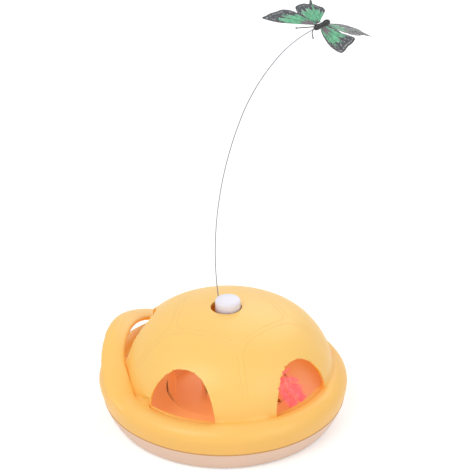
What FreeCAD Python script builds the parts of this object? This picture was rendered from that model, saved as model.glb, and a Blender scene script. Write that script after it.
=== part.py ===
import FreeCAD, Part
import math
import os
import re

import Sketcher
from FreeCAD import Placement, Rotation, Vector

# Automatic cat feather toy: a domed shell on a shallow tray, with a turning feather drum inside
# and a butterfly on a spring wire above. Millimetres, +Z up. The origin is on the drum's turning
# axis, at the flat underside of the tray. The handle is on the -X side.

SIZES = [
    # shell and tray: the rim circles are centred rim_shift toward the handle
    ("wall", 2.2),
    ("rim_shift", 3.6),
    ("base_radius", 99.7),
    ("base_round", 2.0),
    ("seam_radius", 108.3),
    ("seam_height", 19.2),
    ("seam_thick", 1.2),
    ("rim_radius", 110.0),
    ("rim_middle", 31.0),
    ("crease_radius", 91.3),
    ("crease_height", 39.7),
    ("flange_radius", 88.0),
    ("skirt_bulge", 60.0),
    ("floor_thick", 2.4),
    ("tongue_height", 3.0),
    ("seat_gap", 0.15),
    # dome
    ("dome_radius", 93.1),
    ("dome_rise", 62.8),
    ("dome_shoulder", 56.0),
    ("crown_hole_radius", 13.8),
    ("crown_hole_shift", 1.5),
    ("sill_height", 40.6),
    # windows and hand opening
    ("side_count", 5),
    ("window_half", 31.0),
    ("window_rise", 38.5),
    ("window_side", 44.8),
    ("hand_half", 38.0),
    ("hand_rise", 45.5),
    ("hand_side", 52.0),
    ("hand_angle", 173.2),
    # handle
    ("handle_spread", 56.0),
    ("handle_radius", 103.0),
    ("handle_draw", 6.5),
    ("handle_foot", 33.0),
    ("handle_rise", 34.5),
    ("handle_width", 11.0),
    ("handle_root", 6.6),
    ("handle_thick", 4.1),
    ("handle_power", 0.58),
    # screws and posts
    ("post_circle", 93.0),
    ("post_radius", 3.2),
    ("boss_radius", 4.8),
    ("screw_reach", 8.0),
    ("screw_radius", 1.25),
    ("screw_clearance", 0.35),
    ("pilot_clearance", 0.06),
    ("head_radius", 2.8),
    ("head_thick", 1.6),
    ("head_depth", 9.0),
    ("deck_top", 22.0),
    ("deck_thick", 1.6),
    ("deck_gap", 1.5),
    ("foot_radius", 6.0),
    ("foot_drop", 1.2),
    ("foot_circle", 84.0),
    # gear train: module 0.6, three levels under the drum
    ("gear_module", 0.6),
    ("pinion_teeth", 10),
    ("first_teeth", 40),
    ("small_teeth", 12),
    ("second_teeth", 36),
    ("ring_teeth", 90),
    ("level_one", 3.0),
    ("level_two", 6.0),
    ("level_three", 9.0),
    ("gear_face", 2.4),
    ("ring_outer", 30.5),
    ("gear_pin_radius", 1.0),
    ("gear_play", 0.06),
    ("gear_neck_inset", 1.0),
    ("gear_end_gap", 0.5),
    ("pin_end_gap", 0.4),
    ("running_gap", 0.05),
    # motor and its plate
    ("plate_height", 10.8),
    ("plate_thick", 2.0),
    ("plate_radius", 18.8),
    ("pillar_radius", 1.8),
    ("pillar_circle", 15.4),
    ("plate_screw_radius", 1.6),
    ("motor_radius", 10.0),
    ("motor_flat", 7.6),
    ("motor_length", 25.0),
    ("shaft_radius", 1.0),
    ("cover_radius", 18.8),
    ("cover_wall", 1.6),
    ("cover_top", 42.0),
    ("pivot_radius", 2.0),
    ("pivot_top", 57.0),
    # drum
    ("drum_floor", 12.4),
    ("drum_floor_thick", 1.8),
    ("drum_radius", 54.0),
    ("drum_wall", 2.0),
    ("drum_height", 21.0),
    ("shield_height", 46.0),
    ("shield_half_angle", 30.0),
    ("shield_angle", 188.2),
    ("notch_angle", 339.0),
    ("notch_half", 4.6),
    ("notch_depth", 7.0),
    ("column_radius", 23.5),
    ("column_wall", 2.4),
    ("column_top", 60.0),
    ("bush_radius", 4.5),
    ("drive_radius", 6.5),
    ("drive_top", 99.0),
    # cap and wire
    ("cap_radius", 11.8),
    ("cap_top", 105.2),
    ("cap_edge", 2.4),
    ("cap_crown", 0.9),
    ("wire_radius", 0.45),
    ("wire_side", -7.6),
    ("wire_back", 7.0),
    ("wire_seat", 4.0),
    ("view_turn", 8.2),
    # batteries
    ("cell_radius", 7.2),
    ("cell_length", 49.2),
    ("cell_nub_radius", 2.7),
    ("coil_thick", 0.5),
    ("coil_outset", 1.2),
    ("cell_nub", 1.2),
    ("cell_gap", 1.0),
    ("cell_height", 10.6),
    ("bay_inner", 58.0),
    ("bay_wall", 1.6),
    ("bay_spare", 7.0),
    ("door_thick", 2.2),
    ("door_pin_radius", 0.6),
    ("door_gap", 0.35),
    # switch and circuit board
    ("switch_distance", 74.0),
    ("switch_length", 14.0),
    ("switch_width", 7.0),
    ("switch_height", 6.0),
    ("knob_length", 5.0),
    ("knob_width", 4.4),
    ("knob_travel", 4.0),
    ("knob_recess", 0.5),
    ("board_height", 10.4),
    ("board_thick", 1.6),
    ("board_length", 40.0),
    ("board_width", 19.0),
    # feather
    ("quill_radius", 0.7),
    ("clip_depth", 4.6),
    ("clip_width", 6.0),
    ("clip_height", 6.5),
    ("clip_edge", 0.8),
    ("clip_inset", 2.5),
    ("quill_foot", 3.0),
    ("quill_bend", 18.0),
    ("quill_bow", 3.5),
    ("crest_inset", 1.0),
    ("crest_height", 45.5),
    ("plume_width", 11.0),
    ("plume_thick", 0.9),
    ("camera_side", 278.2),
    ("camera_rise", 26.4),
    # butterfly
    ("wing_thick", 0.5),
    ("wing_dihedral", 10.0),
    ("antenna_radius", 0.35),
    ("antenna_knob", 0.9),
]
NAMES = {alias for alias, number in SIZES}

doc = FreeCAD.newDocument("cat_feather_toy")
sheet = doc.addObject("Spreadsheet::Sheet", "Sizes")
for row, (alias, number) in enumerate(SIZES, 1):
    sheet.set("A%d" % row, alias)
    sheet.set("B%d" % row, str(number))
    sheet.setAlias("B%d" % row, alias)
doc.recompute()

nodes = []


def full(expression):
    """An expression in the sheet's aliases, written with the sheet's name before each."""
    def longer(found):
        word = found.group()
        return "Sizes." + word if word in NAMES else word
    return re.sub(r"[a-z_]+", longer, str(expression))


def size(expression):
    """The number that an expression has now."""
    answer = sheet.evalExpression(full(expression))
    return float(getattr(answer, "Value", answer))


def bind(thing, **paths):
    """Tie properties to expressions. A double underscore in a name stands for a dot."""
    for path, expression in paths.items():
        thing.setExpression(path.replace("__", "."), full(expression))


def place(thing, x="0", y="0", z="0"):
    """Put a thing at a point given by expressions."""
    bind(thing, Placement__Base__x=x, Placement__Base__y=y, Placement__Base__z=z)
    return thing


def keep(thing, name):
    """Make a thing a sub-part of its own name."""
    thing.Label = name
    nodes.append(thing)
    return thing


def new_body(name):
    return doc.addObject("PartDesign::Body", name + "_body")


def origin_plane(body, role):
    return [plane for plane in body.Origin.OriginFeatures if plane.Role == role][0]


def blank_sketch(body, name, plane, shift=("0", "0", "0"), turn=0.0):
    """An empty sketch on an origin plane, moved in the plane's own axes and turned about its Y."""
    sketch = body.newObject("Sketcher::SketchObject", name)
    sketch.AttachmentSupport = [(origin_plane(body, plane), "")]
    sketch.MapMode = "FlatFace"
    offset = Vector(*[size(part) for part in shift])
    sketch.AttachmentOffset = Placement(offset, Rotation(Vector(0, 1, 0), turn))
    for axis, part in zip("xyz", shift):
        if part != "0":
            sketch.setExpression("AttachmentOffset.Base." + axis, full(part))
    return sketch


def hold(sketch, kind, label, expression, *places):
    """One constraint bound to an expression."""
    index = sketch.addConstraint(Sketcher.Constraint(kind, *places, size(expression)))
    sketch.renameConstraint(index, label)
    sketch.setExpression("Constraints." + label, full(expression))


def outline(sketch, points, arcs=None):
    """A closed, fully constrained outline. arcs maps the number of the side that starts at that
    point to (radius, sense), with sense +1 where the side turns left along its way."""
    arcs = arcs or {}
    spots = [Vector(size(x), size(y), 0) for x, y in points]
    count = len(points)
    ends = []
    for side in range(count):
        here = spots[side]
        there = spots[(side + 1) % count]
        if side not in arcs:
            geometry = sketch.addGeometry(Part.LineSegment(here, there), False)
            ends.append((geometry, 1, 2))
            continue
        radius, sense = size(arcs[side][0]), arcs[side][1]
        middle = (here + there) * 0.5
        chord = there - here
        left = Vector(-chord.y, chord.x, 0).normalize()
        reach = math.sqrt(max(radius ** 2 - chord.Length ** 2 / 4, 0.0))
        centre = middle + left * (reach * sense)
        first, last = (here, there) if sense > 0 else (there, here)
        start = math.atan2(first.y - centre.y, first.x - centre.x)
        stop = math.atan2(last.y - centre.y, last.x - centre.x)
        circle = Part.Circle(centre, Vector(0, 0, 1), radius)
        geometry = sketch.addGeometry(Part.ArcOfCircle(circle, start, stop), False)
        ends.append((geometry, 1, 2) if sense > 0 else (geometry, 2, 1))
    for side in range(count):
        geometry, start, stop = ends[side]
        following = ends[(side + 1) % count]
        sketch.addConstraint(Sketcher.Constraint("Coincident", geometry, stop, following[0], following[1]))
    for side, (x, y) in enumerate(points):
        geometry, start, stop = ends[side]
        if x == "0":
            sketch.addConstraint(Sketcher.Constraint("PointOnObject", geometry, start, -2))
        else:
            hold(sketch, "DistanceX", "across%d" % side, x, -1, 1, geometry, start)
        if y == "0":
            sketch.addConstraint(Sketcher.Constraint("PointOnObject", geometry, start, -1))
        else:
            hold(sketch, "DistanceY", "up%d" % side, y, -1, 1, geometry, start)
    for side, (radius, sense) in arcs.items():
        hold(sketch, "Radius", "radius%d" % side, radius, ends[side][0])
    return sketch


def circle(sketch, x, y, radius, label=""):
    """A circle fixed by expressions."""
    shape = Part.Circle(Vector(size(x), size(y), 0), Vector(0, 0, 1), size(radius))
    geometry = sketch.addGeometry(shape, False)
    if x == "0":
        sketch.addConstraint(Sketcher.Constraint("PointOnObject", geometry, 3, -2))
    else:
        hold(sketch, "DistanceX", "across" + label, x, -1, 1, geometry, 3)
    if y == "0":
        sketch.addConstraint(Sketcher.Constraint("PointOnObject", geometry, 3, -1))
    else:
        hold(sketch, "DistanceY", "up" + label, y, -1, 1, geometry, 3)
    hold(sketch, "Radius", "radius" + label, radius, geometry)
    return sketch


def rectangle(sketch, x_low, x_high, y_low, y_high):
    return outline(sketch, [(x_low, y_low), (x_high, y_low), (x_high, y_high), (x_low, y_high)])


def revolve(body, sketch, name, kind="PartDesign::Revolution"):
    feature = body.newObject(kind, name)
    feature.Profile = sketch
    feature.ReferenceAxis = (sketch, ["V_Axis"])
    feature.Angle = 360
    return feature


def pad(body, sketch, name, length, backward=False):
    feature = body.newObject("PartDesign::Pad", name)
    feature.Profile = sketch
    bind(feature, Length=length)
    feature.Reversed = backward
    return feature


def pocket(body, sketch, name, length, forward=False):
    """A pocket. It cuts against the sketch's normal, or along it with forward."""
    doc.recompute()
    before = body.Tip.Shape.Volume
    feature = body.newObject("PartDesign::Pocket", name)
    feature.Profile = sketch
    bind(feature, Length=length)
    feature.Reversed = forward
    doc.recompute()
    if not feature.Shape.Volume < before - 1e-6:
        raise RuntimeError(name + " cuts nothing")
    return feature


def around(body, feature, sketch, name, count, angle="360"):
    """Repeat a feature about the normal through its sketch's own origin."""
    pattern = body.newObject("PartDesign::PolarPattern", name)
    pattern.Originals = [feature]
    pattern.Axis = (sketch, ["N_Axis"])
    bind(pattern, Occurrences=count, Angle=angle)
    body.Tip = pattern
    return pattern


def cylinder(name, radius, height, x="0", y="0", z="0"):
    thing = doc.addObject("Part::Cylinder", name)
    bind(thing, Radius=radius, Height=height)
    return place(thing, x, y, z)


def block(name, length, width, height, x="0", y="0", z="0"):
    """A box whose x and y are its middle."""
    thing = doc.addObject("Part::Box", name)
    bind(thing, Length=length, Width=width, Height=height)
    return place(thing, "%s - (%s)/2" % (x, length), "%s - (%s)/2" % (y, width), z)


def fuse(name, things):
    thing = doc.addObject("Part::MultiFuse", name)
    thing.Shapes = things
    return thing


def cut(name, base, tool):
    thing = doc.addObject("Part::Cut", name)
    thing.Base = base
    thing.Tool = tool
    return thing


def arch_corner(half, rise, side):
    """Crown radius of an arch, and the point where its side and crown arcs meet."""
    crown = "(((%s)-(%s))^2 + (%s)^2 - (%s)^2)/(2*((%s)-(%s)))" % (half, side, rise, side, rise, side)
    across = "(%s)*((%s)-(%s))/((%s)-(%s))" % (crown, half, side, crown, side)
    up = "(%s)*((%s)-(%s))/((%s)-(%s))" % (side, crown, rise, crown, side)
    return crown, across, up


def arch(sketch, half, rise, side):
    """An arch standing on the sketch's X axis at the sill."""
    crown, across, up = arch_corner(half, rise, side)
    points = [
        ("-(%s)" % half, "0"),
        (half, "0"),
        (across, up),
        ("-(%s)" % across, up),
    ]
    return outline(sketch, points, {1: (side, 1), 2: (crown, 1), 3: (side, 1)})


def dome_section(radius, rise, shoulder, foot, less):
    """Right half of a dome's wall: outer line up to the axis, inner line down again."""
    crown, across, up = arch_corner(radius, rise, shoulder)
    inner_crown = "(%s) - %s" % (crown, less)
    back_across = "(%s)*(%s-%s)/((%s)-%s)" % (inner_crown, radius, shoulder, crown, shoulder)
    back_up = "%s - (%s) + (%s)*((%s)-%s)/((%s)-%s)" % (
        rise, crown, inner_crown, crown, rise, crown, shoulder
    )
    base = "crease_height"
    points = [
        (radius, foot),
        (radius, base),
        (across, "%s + (%s)" % (base, up)),
        ("0", "%s + %s" % (base, rise)),
        ("0", "%s + %s - %s" % (base, rise, less)),
        (back_across, "%s + (%s)" % (base, back_up)),
        ("%s - %s" % (radius, less), base),
        ("%s - %s" % (radius, less), foot),
    ]
    arcs = {
        1: (shoulder, 1),
        2: (crown, 1),
        4: (inner_crown, -1),
        5: ("%s - %s" % (shoulder, less), -1),
    }
    return points, arcs


def handle_band():
    """The carry handle: a flat band that leaves the rim, rises in the middle and returns."""
    count = 15
    profiles = []
    for step in range(count):
        share = 2.0 * step / (count - 1) - 1.0
        lift = (0.5 * (1.0 + math.cos(math.pi * share))) ** size("handle_power")
        angle = math.radians(size("handle_spread") * share)
        radius = size("handle_radius") - size("handle_draw") * lift
        height = size("handle_foot") + size("handle_rise") * lift
        root = size("handle_root")
        half_width = root + (size("handle_width") - root) * math.sqrt(lift)
        slope = 0.0
        if 0 < step < count - 1:
            inside = 0.5 * (1.0 + math.cos(math.pi * share))
            change = -0.5 * math.pi * math.sin(math.pi * share)
            change *= size("handle_power") * inside ** (size("handle_power") - 1.0)
            run = radius * math.radians(size("handle_spread"))
            slope = math.atan2(size("handle_rise") * change, run)
        outward = Vector(math.cos(angle), math.sin(angle), 0)
        along = Vector(-math.sin(angle) * math.cos(slope), math.cos(angle) * math.cos(slope), math.sin(slope))
        centre = outward * radius + Vector(0, 0, height)
        ring = Part.Ellipse(Vector(0, 0, 0), half_width, size("handle_thick")).toShape()
        up = along.cross(outward)
        frame = FreeCAD.Matrix(
            outward.x, up.x, along.x, centre.x,
            outward.y, up.y, along.y, centre.y,
            outward.z, up.z, along.z, centre.z,
            0, 0, 0, 1,
        )
        ring.Placement = Placement(frame)
        profiles.append(Part.Wire([ring]))
    band = doc.addObject("Part::Feature", "handle_band")
    band.Shape = Part.makeLoft(profiles, True, False)
    turn = Rotation(Vector(0, 0, 1), size("hand_angle"))
    band.Placement = Placement(Vector(-size("rim_shift"), 0, 0), turn)
    return band


def rim_section(sketch):
    """Rolled rim: outer line from the seam to the crease, a flange under the dome, and back."""
    reach = "(rim_radius - crease_radius)"
    roll = "(%s^2 + (crease_height - rim_middle)^2)/(2*%s)" % (reach, reach)
    inner_top = "crease_height - wall"
    inner_edge = "rim_radius - (%s) - sqrt(((%s) - wall)^2 - (%s - rim_middle)^2)" % (roll, roll, inner_top)
    skirt_foot = "seam_height + seam_thick/2"
    points = [
        ("seam_radius", skirt_foot),
        ("rim_radius", "rim_middle"),
        ("crease_radius", "crease_height"),
        ("flange_radius", "crease_height"),
        ("flange_radius", inner_top),
        (inner_edge, inner_top),
        ("rim_radius - wall", "rim_middle"),
        ("seam_radius - wall", skirt_foot),
    ]
    arcs = {
        0: ("skirt_bulge", 1),
        1: (roll, 1),
        5: ("(%s) - wall" % roll, -1),
        6: ("skirt_bulge - wall", -1),
    }
    return outline(sketch, points, arcs)


def upright_axis_pattern(body, repeated, name, count, angle):
    """Repeat a feature about the turning axis."""
    pattern = body.newObject("PartDesign::PolarPattern", name)
    pattern.Originals = [repeated]
    pattern.Axis = (origin_plane(body, "Z_Axis"), [""])
    bind(pattern, Occurrences=count, Angle=angle)
    body.Tip = pattern
    return pattern


def make_top_shell():
    """Dome with its windows, hand opening and crown hole, then the rim, the posts and the handle."""
    body = new_body("top_shell")
    dome = blank_sketch(body, "dome_section", "XZ_Plane")
    points, arcs = dome_section("dome_radius", "dome_rise", "dome_shoulder", "crease_height - wall", "wall")
    outline(dome, points, arcs)
    revolve(body, dome, "dome_wall")
    step = 360.0 / size("side_count")
    window = blank_sketch(body, "window_arch", "XZ_Plane", ("0", "sill_height", "0"), -1.5 * step + 90.0)
    arch(window, "window_half", "window_rise", "window_side")
    opening = pocket(body, window, "window", "rim_radius", True)
    upright_axis_pattern(body, opening, "windows", "side_count - 1", "(side_count - 2)*360/side_count")
    hand = blank_sketch(body, "hand_arch", "XZ_Plane", ("0", "sill_height", "0"), size("hand_angle") + 90.0)
    arch(hand, "hand_half", "hand_rise", "hand_side")
    pocket(body, hand, "hand_opening", "rim_radius", True)
    crown = blank_sketch(body, "crown_circle", "XY_Plane", ("0", "0", "crease_height + dome_rise/2"))
    circle(crown, "-crown_hole_shift", "0", "crown_hole_radius")
    pocket(body, crown, "crown_hole", "dome_rise", True)
    rim = blank_sketch(body, "rim_section", "XZ_Plane", ("-rim_shift", "0", "0"))
    rim_section(rim)
    revolve(body, rim, "rim_wall")
    post = blank_sketch(body, "post_sketch", "XY_Plane", ("-rim_shift", "0", "deck_top"))
    circle(post, "post_circle", "0", "post_radius")
    column = pad(body, post, "post", "crease_height - wall/2 - deck_top")
    around(body, column, post, "posts", "side_count")
    pilot = blank_sketch(body, "pilot_sketch", "XY_Plane", ("-rim_shift", "0", "deck_top"))
    circle(pilot, "post_circle", "0", "screw_radius + pilot_clearance")
    bore = pocket(body, pilot, "pilot", "screw_reach + screw_clearance", True)
    around(body, bore, pilot, "pilots", "side_count")
    band = handle_band()
    keep(fuse("shell_with_handle", [body, band]), "top_shell")


def make_inner_deck():
    """Flat deck round the drum. It hides the batteries and is clamped between posts and bosses."""
    body = new_body("inner_deck")
    low = "deck_top - deck_thick"
    edge = blank_sketch(body, "deck_sketch", "XY_Plane", ("-rim_shift", "0", low))
    circle(edge, "0", "0", "seam_radius - 2*wall - 2*seat_gap")
    pad(body, edge, "deck", "deck_thick")
    well = blank_sketch(body, "well_sketch", "XY_Plane", ("0", "0", low))
    circle(well, "0", "0", "drum_radius + deck_gap")
    pocket(body, well, "well", "2*deck_thick", True)
    hole = blank_sketch(body, "deck_hole_sketch", "XY_Plane", ("-rim_shift", "0", low))
    circle(hole, "post_circle", "0", "screw_radius + screw_clearance")
    first = pocket(body, hole, "deck_hole", "2*deck_thick", True)
    around(body, first, hole, "deck_holes", "side_count")
    keep(body, "inner_deck")


def make_seam_ring():
    """Thin ring between the shell and the tray, seen as the brown line round the toy."""
    body = new_body("seam_ring")
    ring = blank_sketch(body, "ring_section", "XZ_Plane", ("-rim_shift", "0", "0"))
    low, high = "seam_height - seam_thick/2", "seam_height + seam_thick/2"
    rectangle(ring, "seam_radius - wall", "seam_radius", low, high)
    revolve(body, ring, "ring")
    keep(body, "seam_ring")


def bay_size():
    """Battery bay: inside X of its near wall and far wall, and half its length in Y."""
    near = "-(bay_inner)"
    far = "-(bay_inner + 4*cell_radius + 3*cell_gap)"
    half = "(cell_length/2 + cell_nub/2 + bay_spare/2)"
    return near, far, half


def tray_bowl(body):
    """Shallow bowl with a bulged skirt, and the tongue that stands inside the shell's edge."""
    bowl = blank_sketch(body, "bowl_section", "XZ_Plane", ("-rim_shift", "0", "0"))
    tray_top = "seam_height - seam_thick/2"
    tongue_out = "seam_radius - wall - seat_gap"
    points = [
        ("0", "0"),
        ("base_radius - base_round", "0"),
        ("base_radius", "base_round*0.7"),
        ("seam_radius", tray_top),
        (tongue_out, tray_top),
        (tongue_out, "seam_height + tongue_height"),
        (tongue_out + " - wall", "seam_height + tongue_height"),
        (tongue_out + " - wall", "seam_height - tongue_height"),
        ("base_radius - wall - base_round", "floor_thick"),
        ("0", "floor_thick"),
    ]
    outline(bowl, points, {1: ("base_round", 1), 2: ("skirt_bulge", 1)})
    revolve(body, bowl, "bowl")


def tray_screw_ways(body):
    """Bosses round the tray, bored and counterbored from below for the shell's screws."""
    boss = blank_sketch(body, "boss_sketch", "XY_Plane", ("-rim_shift", "0", "0"))
    circle(boss, "post_circle", "0", "boss_radius")
    bosses = pad(body, boss, "boss", "deck_top - deck_thick")
    around(body, bosses, boss, "bosses", "side_count")
    way = blank_sketch(body, "screw_way_sketch", "XY_Plane", ("-rim_shift", "0", "0"))
    circle(way, "post_circle", "0", "screw_radius + screw_clearance")
    passage = pocket(body, way, "screw_way", "deck_top", True)
    around(body, passage, way, "screw_ways", "side_count")
    sink = blank_sketch(body, "sink_sketch", "XY_Plane", ("-rim_shift", "0", "0"))
    circle(sink, "post_circle", "0", "head_radius + screw_clearance")
    recess = pocket(body, sink, "head_sink", "head_depth + head_thick", True)
    around(body, recess, sink, "head_sinks", "side_count")


def tray_openings(body):
    """Battery bay, open below, and the slot of the switch's knob."""
    near, far, half = bay_size()
    walls = blank_sketch(body, "bay_sketch", "XY_Plane")
    rectangle(walls, far + " - bay_wall", near + " + bay_wall", "-%s - bay_wall" % half, half + " + bay_wall")
    pad(body, walls, "bay_block", "cell_height + cell_radius/2")
    inside = blank_sketch(body, "bay_inside_sketch", "XY_Plane", ("0", "0", "-floor_thick"))
    rectangle(inside, far, near, "-" + half, half)
    pocket(body, inside, "bay_inside", "cell_height + 2*cell_radius + floor_thick", True)
    slot = blank_sketch(body, "switch_slot_sketch", "XY_Plane", ("0", "0", "-floor_thick"))
    slot_half = "knob_length/2 + door_gap"
    rectangle(
        slot,
        "switch_distance - knob_width/2 - door_gap",
        "switch_distance + knob_width/2 + door_gap",
        "-(%s)" % slot_half,
        slot_half + " + knob_travel",
    )
    pocket(body, slot, "switch_slot", "3*floor_thick", True)


def make_base_tray():
    """Tray with its bosses, battery bay, switch slot and hinge bore, and the posts on its floor."""
    body = new_body("base_tray")
    tray_bowl(body)
    tray_screw_ways(body)
    tray_openings(body)
    near, _, half = bay_size()
    pins = cylinder("hinge_bore", "door_pin_radius + running_gap", "2*(%s) + 2*bay_wall" % half)
    pins.Placement = Placement(Vector(0, 0, 0), Rotation(Vector(1, 0, 0), -90))
    place(pins, near + " - door_thick/2 - door_gap", "-%s - bay_wall" % half, "door_thick/2")
    posts = []
    for index, angle in enumerate(pillar_angles()):
        x = "pillar_circle*cos(%g)" % angle
        y = "pillar_circle*sin(%g)" % angle
        height = "plate_height - floor_thick/2"
        posts.append(cylinder("pillar_%d" % index, "pillar_radius", height, x, y, "floor_thick/2"))
    posts.append(board_posts("board_post_low", -1))
    posts.append(board_posts("board_post_high", 1))
    whole = cut("tray_cut", fuse("tray_with_posts", [body] + posts), pins)
    keep(whole, "base_tray")


def board_posts(name, side):
    """Post under one end of the circuit board."""
    return cylinder(
        name,
        "pillar_radius",
        "board_height - floor_thick/2",
        "switch_distance",
        "%d*(board_length/2 - pillar_radius)" % side,
        "floor_thick/2",
    )


def pillar_angles():
    """Directions of the motor plate's pillars, clear of the gears."""
    return (-62.0, 108.0, 205.0)


def gear_outline(teeth, centre_x, centre_y, phase, inside=False):
    """Toothed outline as a wire at height 0. phase is the direction of one tooth, in degrees. For an
    inside gear it is the direction of one gap, with the same cutter's shape."""
    module = size("gear_module")
    pitch = module * teeth / 2.0
    pressure = math.radians(20.0)
    base = pitch * math.cos(pressure)
    play = size("gear_play")
    if inside:
        low, high, half = pitch - module * 0.8, pitch + module * 1.2, math.pi * module / 4.0 + play
    else:
        low, high, half = pitch - module * 1.2, pitch + module * 0.9, math.pi * module / 4.0 - play

    def involute(radius):
        roll = math.sqrt(max((radius / base) ** 2 - 1.0, 0.0))
        return roll - math.atan(roll)

    def half_angle(radius):
        return half / pitch + involute(pitch) - involute(max(radius, base))

    corners = []
    for tooth in range(teeth):
        middle = math.radians(phase) + 2.0 * math.pi * tooth / teeth
        for radius, sign in ((low, -1), (pitch, -1), (high, -1), (high, 1), (pitch, 1), (low, 1)):
            angle = middle + sign * half_angle(radius)
            spot = Vector(math.cos(angle), math.sin(angle), 0) * radius
            corners.append(spot + Vector(centre_x, centre_y, 0))
    return Part.Wire(Part.makePolygon(corners + [corners[0]]))


def gear(teeth, bottom, height, centre, phase):
    """A solid spur gear."""
    face = Part.Face(gear_outline(teeth, centre[0], centre[1], phase))
    face.translate(Vector(0, 0, bottom))
    return face.extrude(Vector(0, 0, height))


def train():
    """Centres and tooth directions of the gears, in mesh at rest."""
    module = size("gear_module")
    pinion, first, small = size("pinion_teeth"), size("first_teeth"), size("small_teeth")
    second, ring = size("second_teeth"), size("ring_teeth")
    reach_one = module * (pinion + first) / 2.0
    reach_two = module * (small + second) / 2.0
    reach_ring = module * (ring - small) / 2.0
    cosine = (reach_one ** 2 + reach_ring ** 2 - reach_two ** 2) / (2.0 * reach_one * reach_ring)
    turn = math.degrees(math.acos(cosine))
    one = (reach_one, 0.0)
    two = (reach_ring * math.cos(math.radians(turn)), reach_ring * math.sin(math.radians(turn)))
    between = math.degrees(math.atan2(two[1] - one[1], two[0] - one[0]))
    return {
        "one": one,
        "two": two,
        "turn": turn,
        "between": between,
        "pinion_phase": 0.0,
        "first_phase": 180.0 + 180.0 / first,
        "first_small_phase": between,
        "second_phase": between + 180.0 + 180.0 / second,
        "second_small_phase": turn,
        "ring_phase": turn,
    }


def drilled(shape, centre, radius, bottom, top):
    """A shape with a round hole through it from bottom to top."""
    hole = Part.makeCylinder(radius, top - bottom + 2.0, Vector(centre[0], centre[1], bottom - 1.0))
    return shape.cut(hole)


def feature(name, shape):
    """Keep a finished shape as a node."""
    thing = doc.addObject("Part::Feature", name + "_feature")
    thing.Shape = shape
    return keep(thing, name)


def compound_gear(name, large, centre, phases, levels, top):
    """A large gear with a small one above it on a neck, bored for its pin."""
    low, high = levels
    face = size("gear_face")
    neck_radius = size("gear_module*small_teeth/2 - gear_neck_inset")
    wheel = gear(int(size(large)), low, face, centre, phases[0])
    neck = Part.makeCylinder(neck_radius, high - low - face, Vector(*centre, low + face))
    small = gear(int(size("small_teeth")), high, top - high, centre, phases[1])
    whole = wheel.fuse([neck, small]).removeSplitter()
    feature(name, drilled(whole, centre, size("gear_pin_radius + running_gap"), low, top))


def make_ring_gear(low, high, phase):
    """Inside ring gear under the drum's floor."""
    rim = Part.makeCylinder(size("ring_outer"), high - low, Vector(0, 0, low))
    teeth = Part.Face(gear_outline(int(size("ring_teeth")), 0.0, 0.0, phase, True))
    teeth.translate(Vector(0, 0, low - 1.0))
    feature("ring_gear", rim.cut(teeth.extrude(Vector(0, 0, high - low + 2.0))))


def make_gears():
    """Pinion, two compound gears and the inside ring gear below the drum, and the gears' pins."""
    mesh = train()
    face = size("gear_face")
    one, two, three = size("level_one"), size("level_two"), size("level_three")
    drum_floor = size("drum_floor")
    pinion = gear(int(size("pinion_teeth")), one, face, (0.0, 0.0), mesh["pinion_phase"])
    bore = size("shaft_radius + running_gap")
    feature("motor_pinion", drilled(pinion, (0.0, 0.0), bore, one, one + face))
    phases = (mesh["first_phase"], mesh["first_small_phase"])
    compound_gear("compound_gear_1", "first_teeth", mesh["one"], phases, (one, two), two + face)
    phases = (mesh["second_phase"], mesh["second_small_phase"])
    top = drum_floor - size("gear_end_gap")
    compound_gear("compound_gear_2", "second_teeth", mesh["two"], phases, (two, three), top)
    make_ring_gear(three, drum_floor, mesh["ring_phase"])
    floor, pin = size("floor_thick"), size("gear_pin_radius")
    low_pin = Part.makeCylinder(pin, size("plate_height") - floor, Vector(*mesh["one"], floor))
    high_pin = Part.makeCylinder(pin, size("drum_floor - pin_end_gap") - floor, Vector(*mesh["two"], floor))
    feature("gear_pin_1", low_pin)
    feature("gear_pin_2", high_pin)


def make_motor():
    """Plate on three pillars, motor standing on it, cover over the motor and pivot above."""
    plate = cylinder("plate_disc", "plate_radius", "plate_thick", z="plate_height")
    hole = cylinder("plate_hole", "3*shaft_radius", "3*plate_thick", z="plate_height - plate_thick")
    keep(cut("motor_plate_cut", plate, hole), "motor_plate")
    seat = "plate_height + plate_thick"
    can = cylinder("motor_can", "motor_radius", "motor_length", z=seat)
    flats = block("motor_flats", "2*motor_radius", "2*motor_flat", "motor_length", z=seat)
    trimmed = doc.addObject("Part::MultiCommon", "motor_trimmed")
    trimmed.Shapes = [can, flats]
    reach = "motor_length/2 + plate_height - level_one"
    shaft = cylinder("motor_shaft", "shaft_radius", reach, z="level_one")
    keep(fuse("motor_whole", [trimmed, shaft]), "motor")
    body = new_body("motor_cover")
    cover = blank_sketch(body, "cover_section", "XZ_Plane")
    points = [
        ("cover_radius - cover_wall", seat),
        ("cover_radius", seat),
        ("cover_radius", "cover_top"),
        ("0", "cover_top"),
        ("0", "cover_top - 2*cover_wall"),
        ("cover_radius - cover_wall", "cover_top - 2*cover_wall"),
    ]
    outline(cover, points)
    revolve(body, cover, "cover")
    keep(body, "motor_cover")
    keep(cylinder("pivot", "pivot_radius", "pivot_top - cover_top", z="cover_top"), "pivot_pin")


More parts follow.
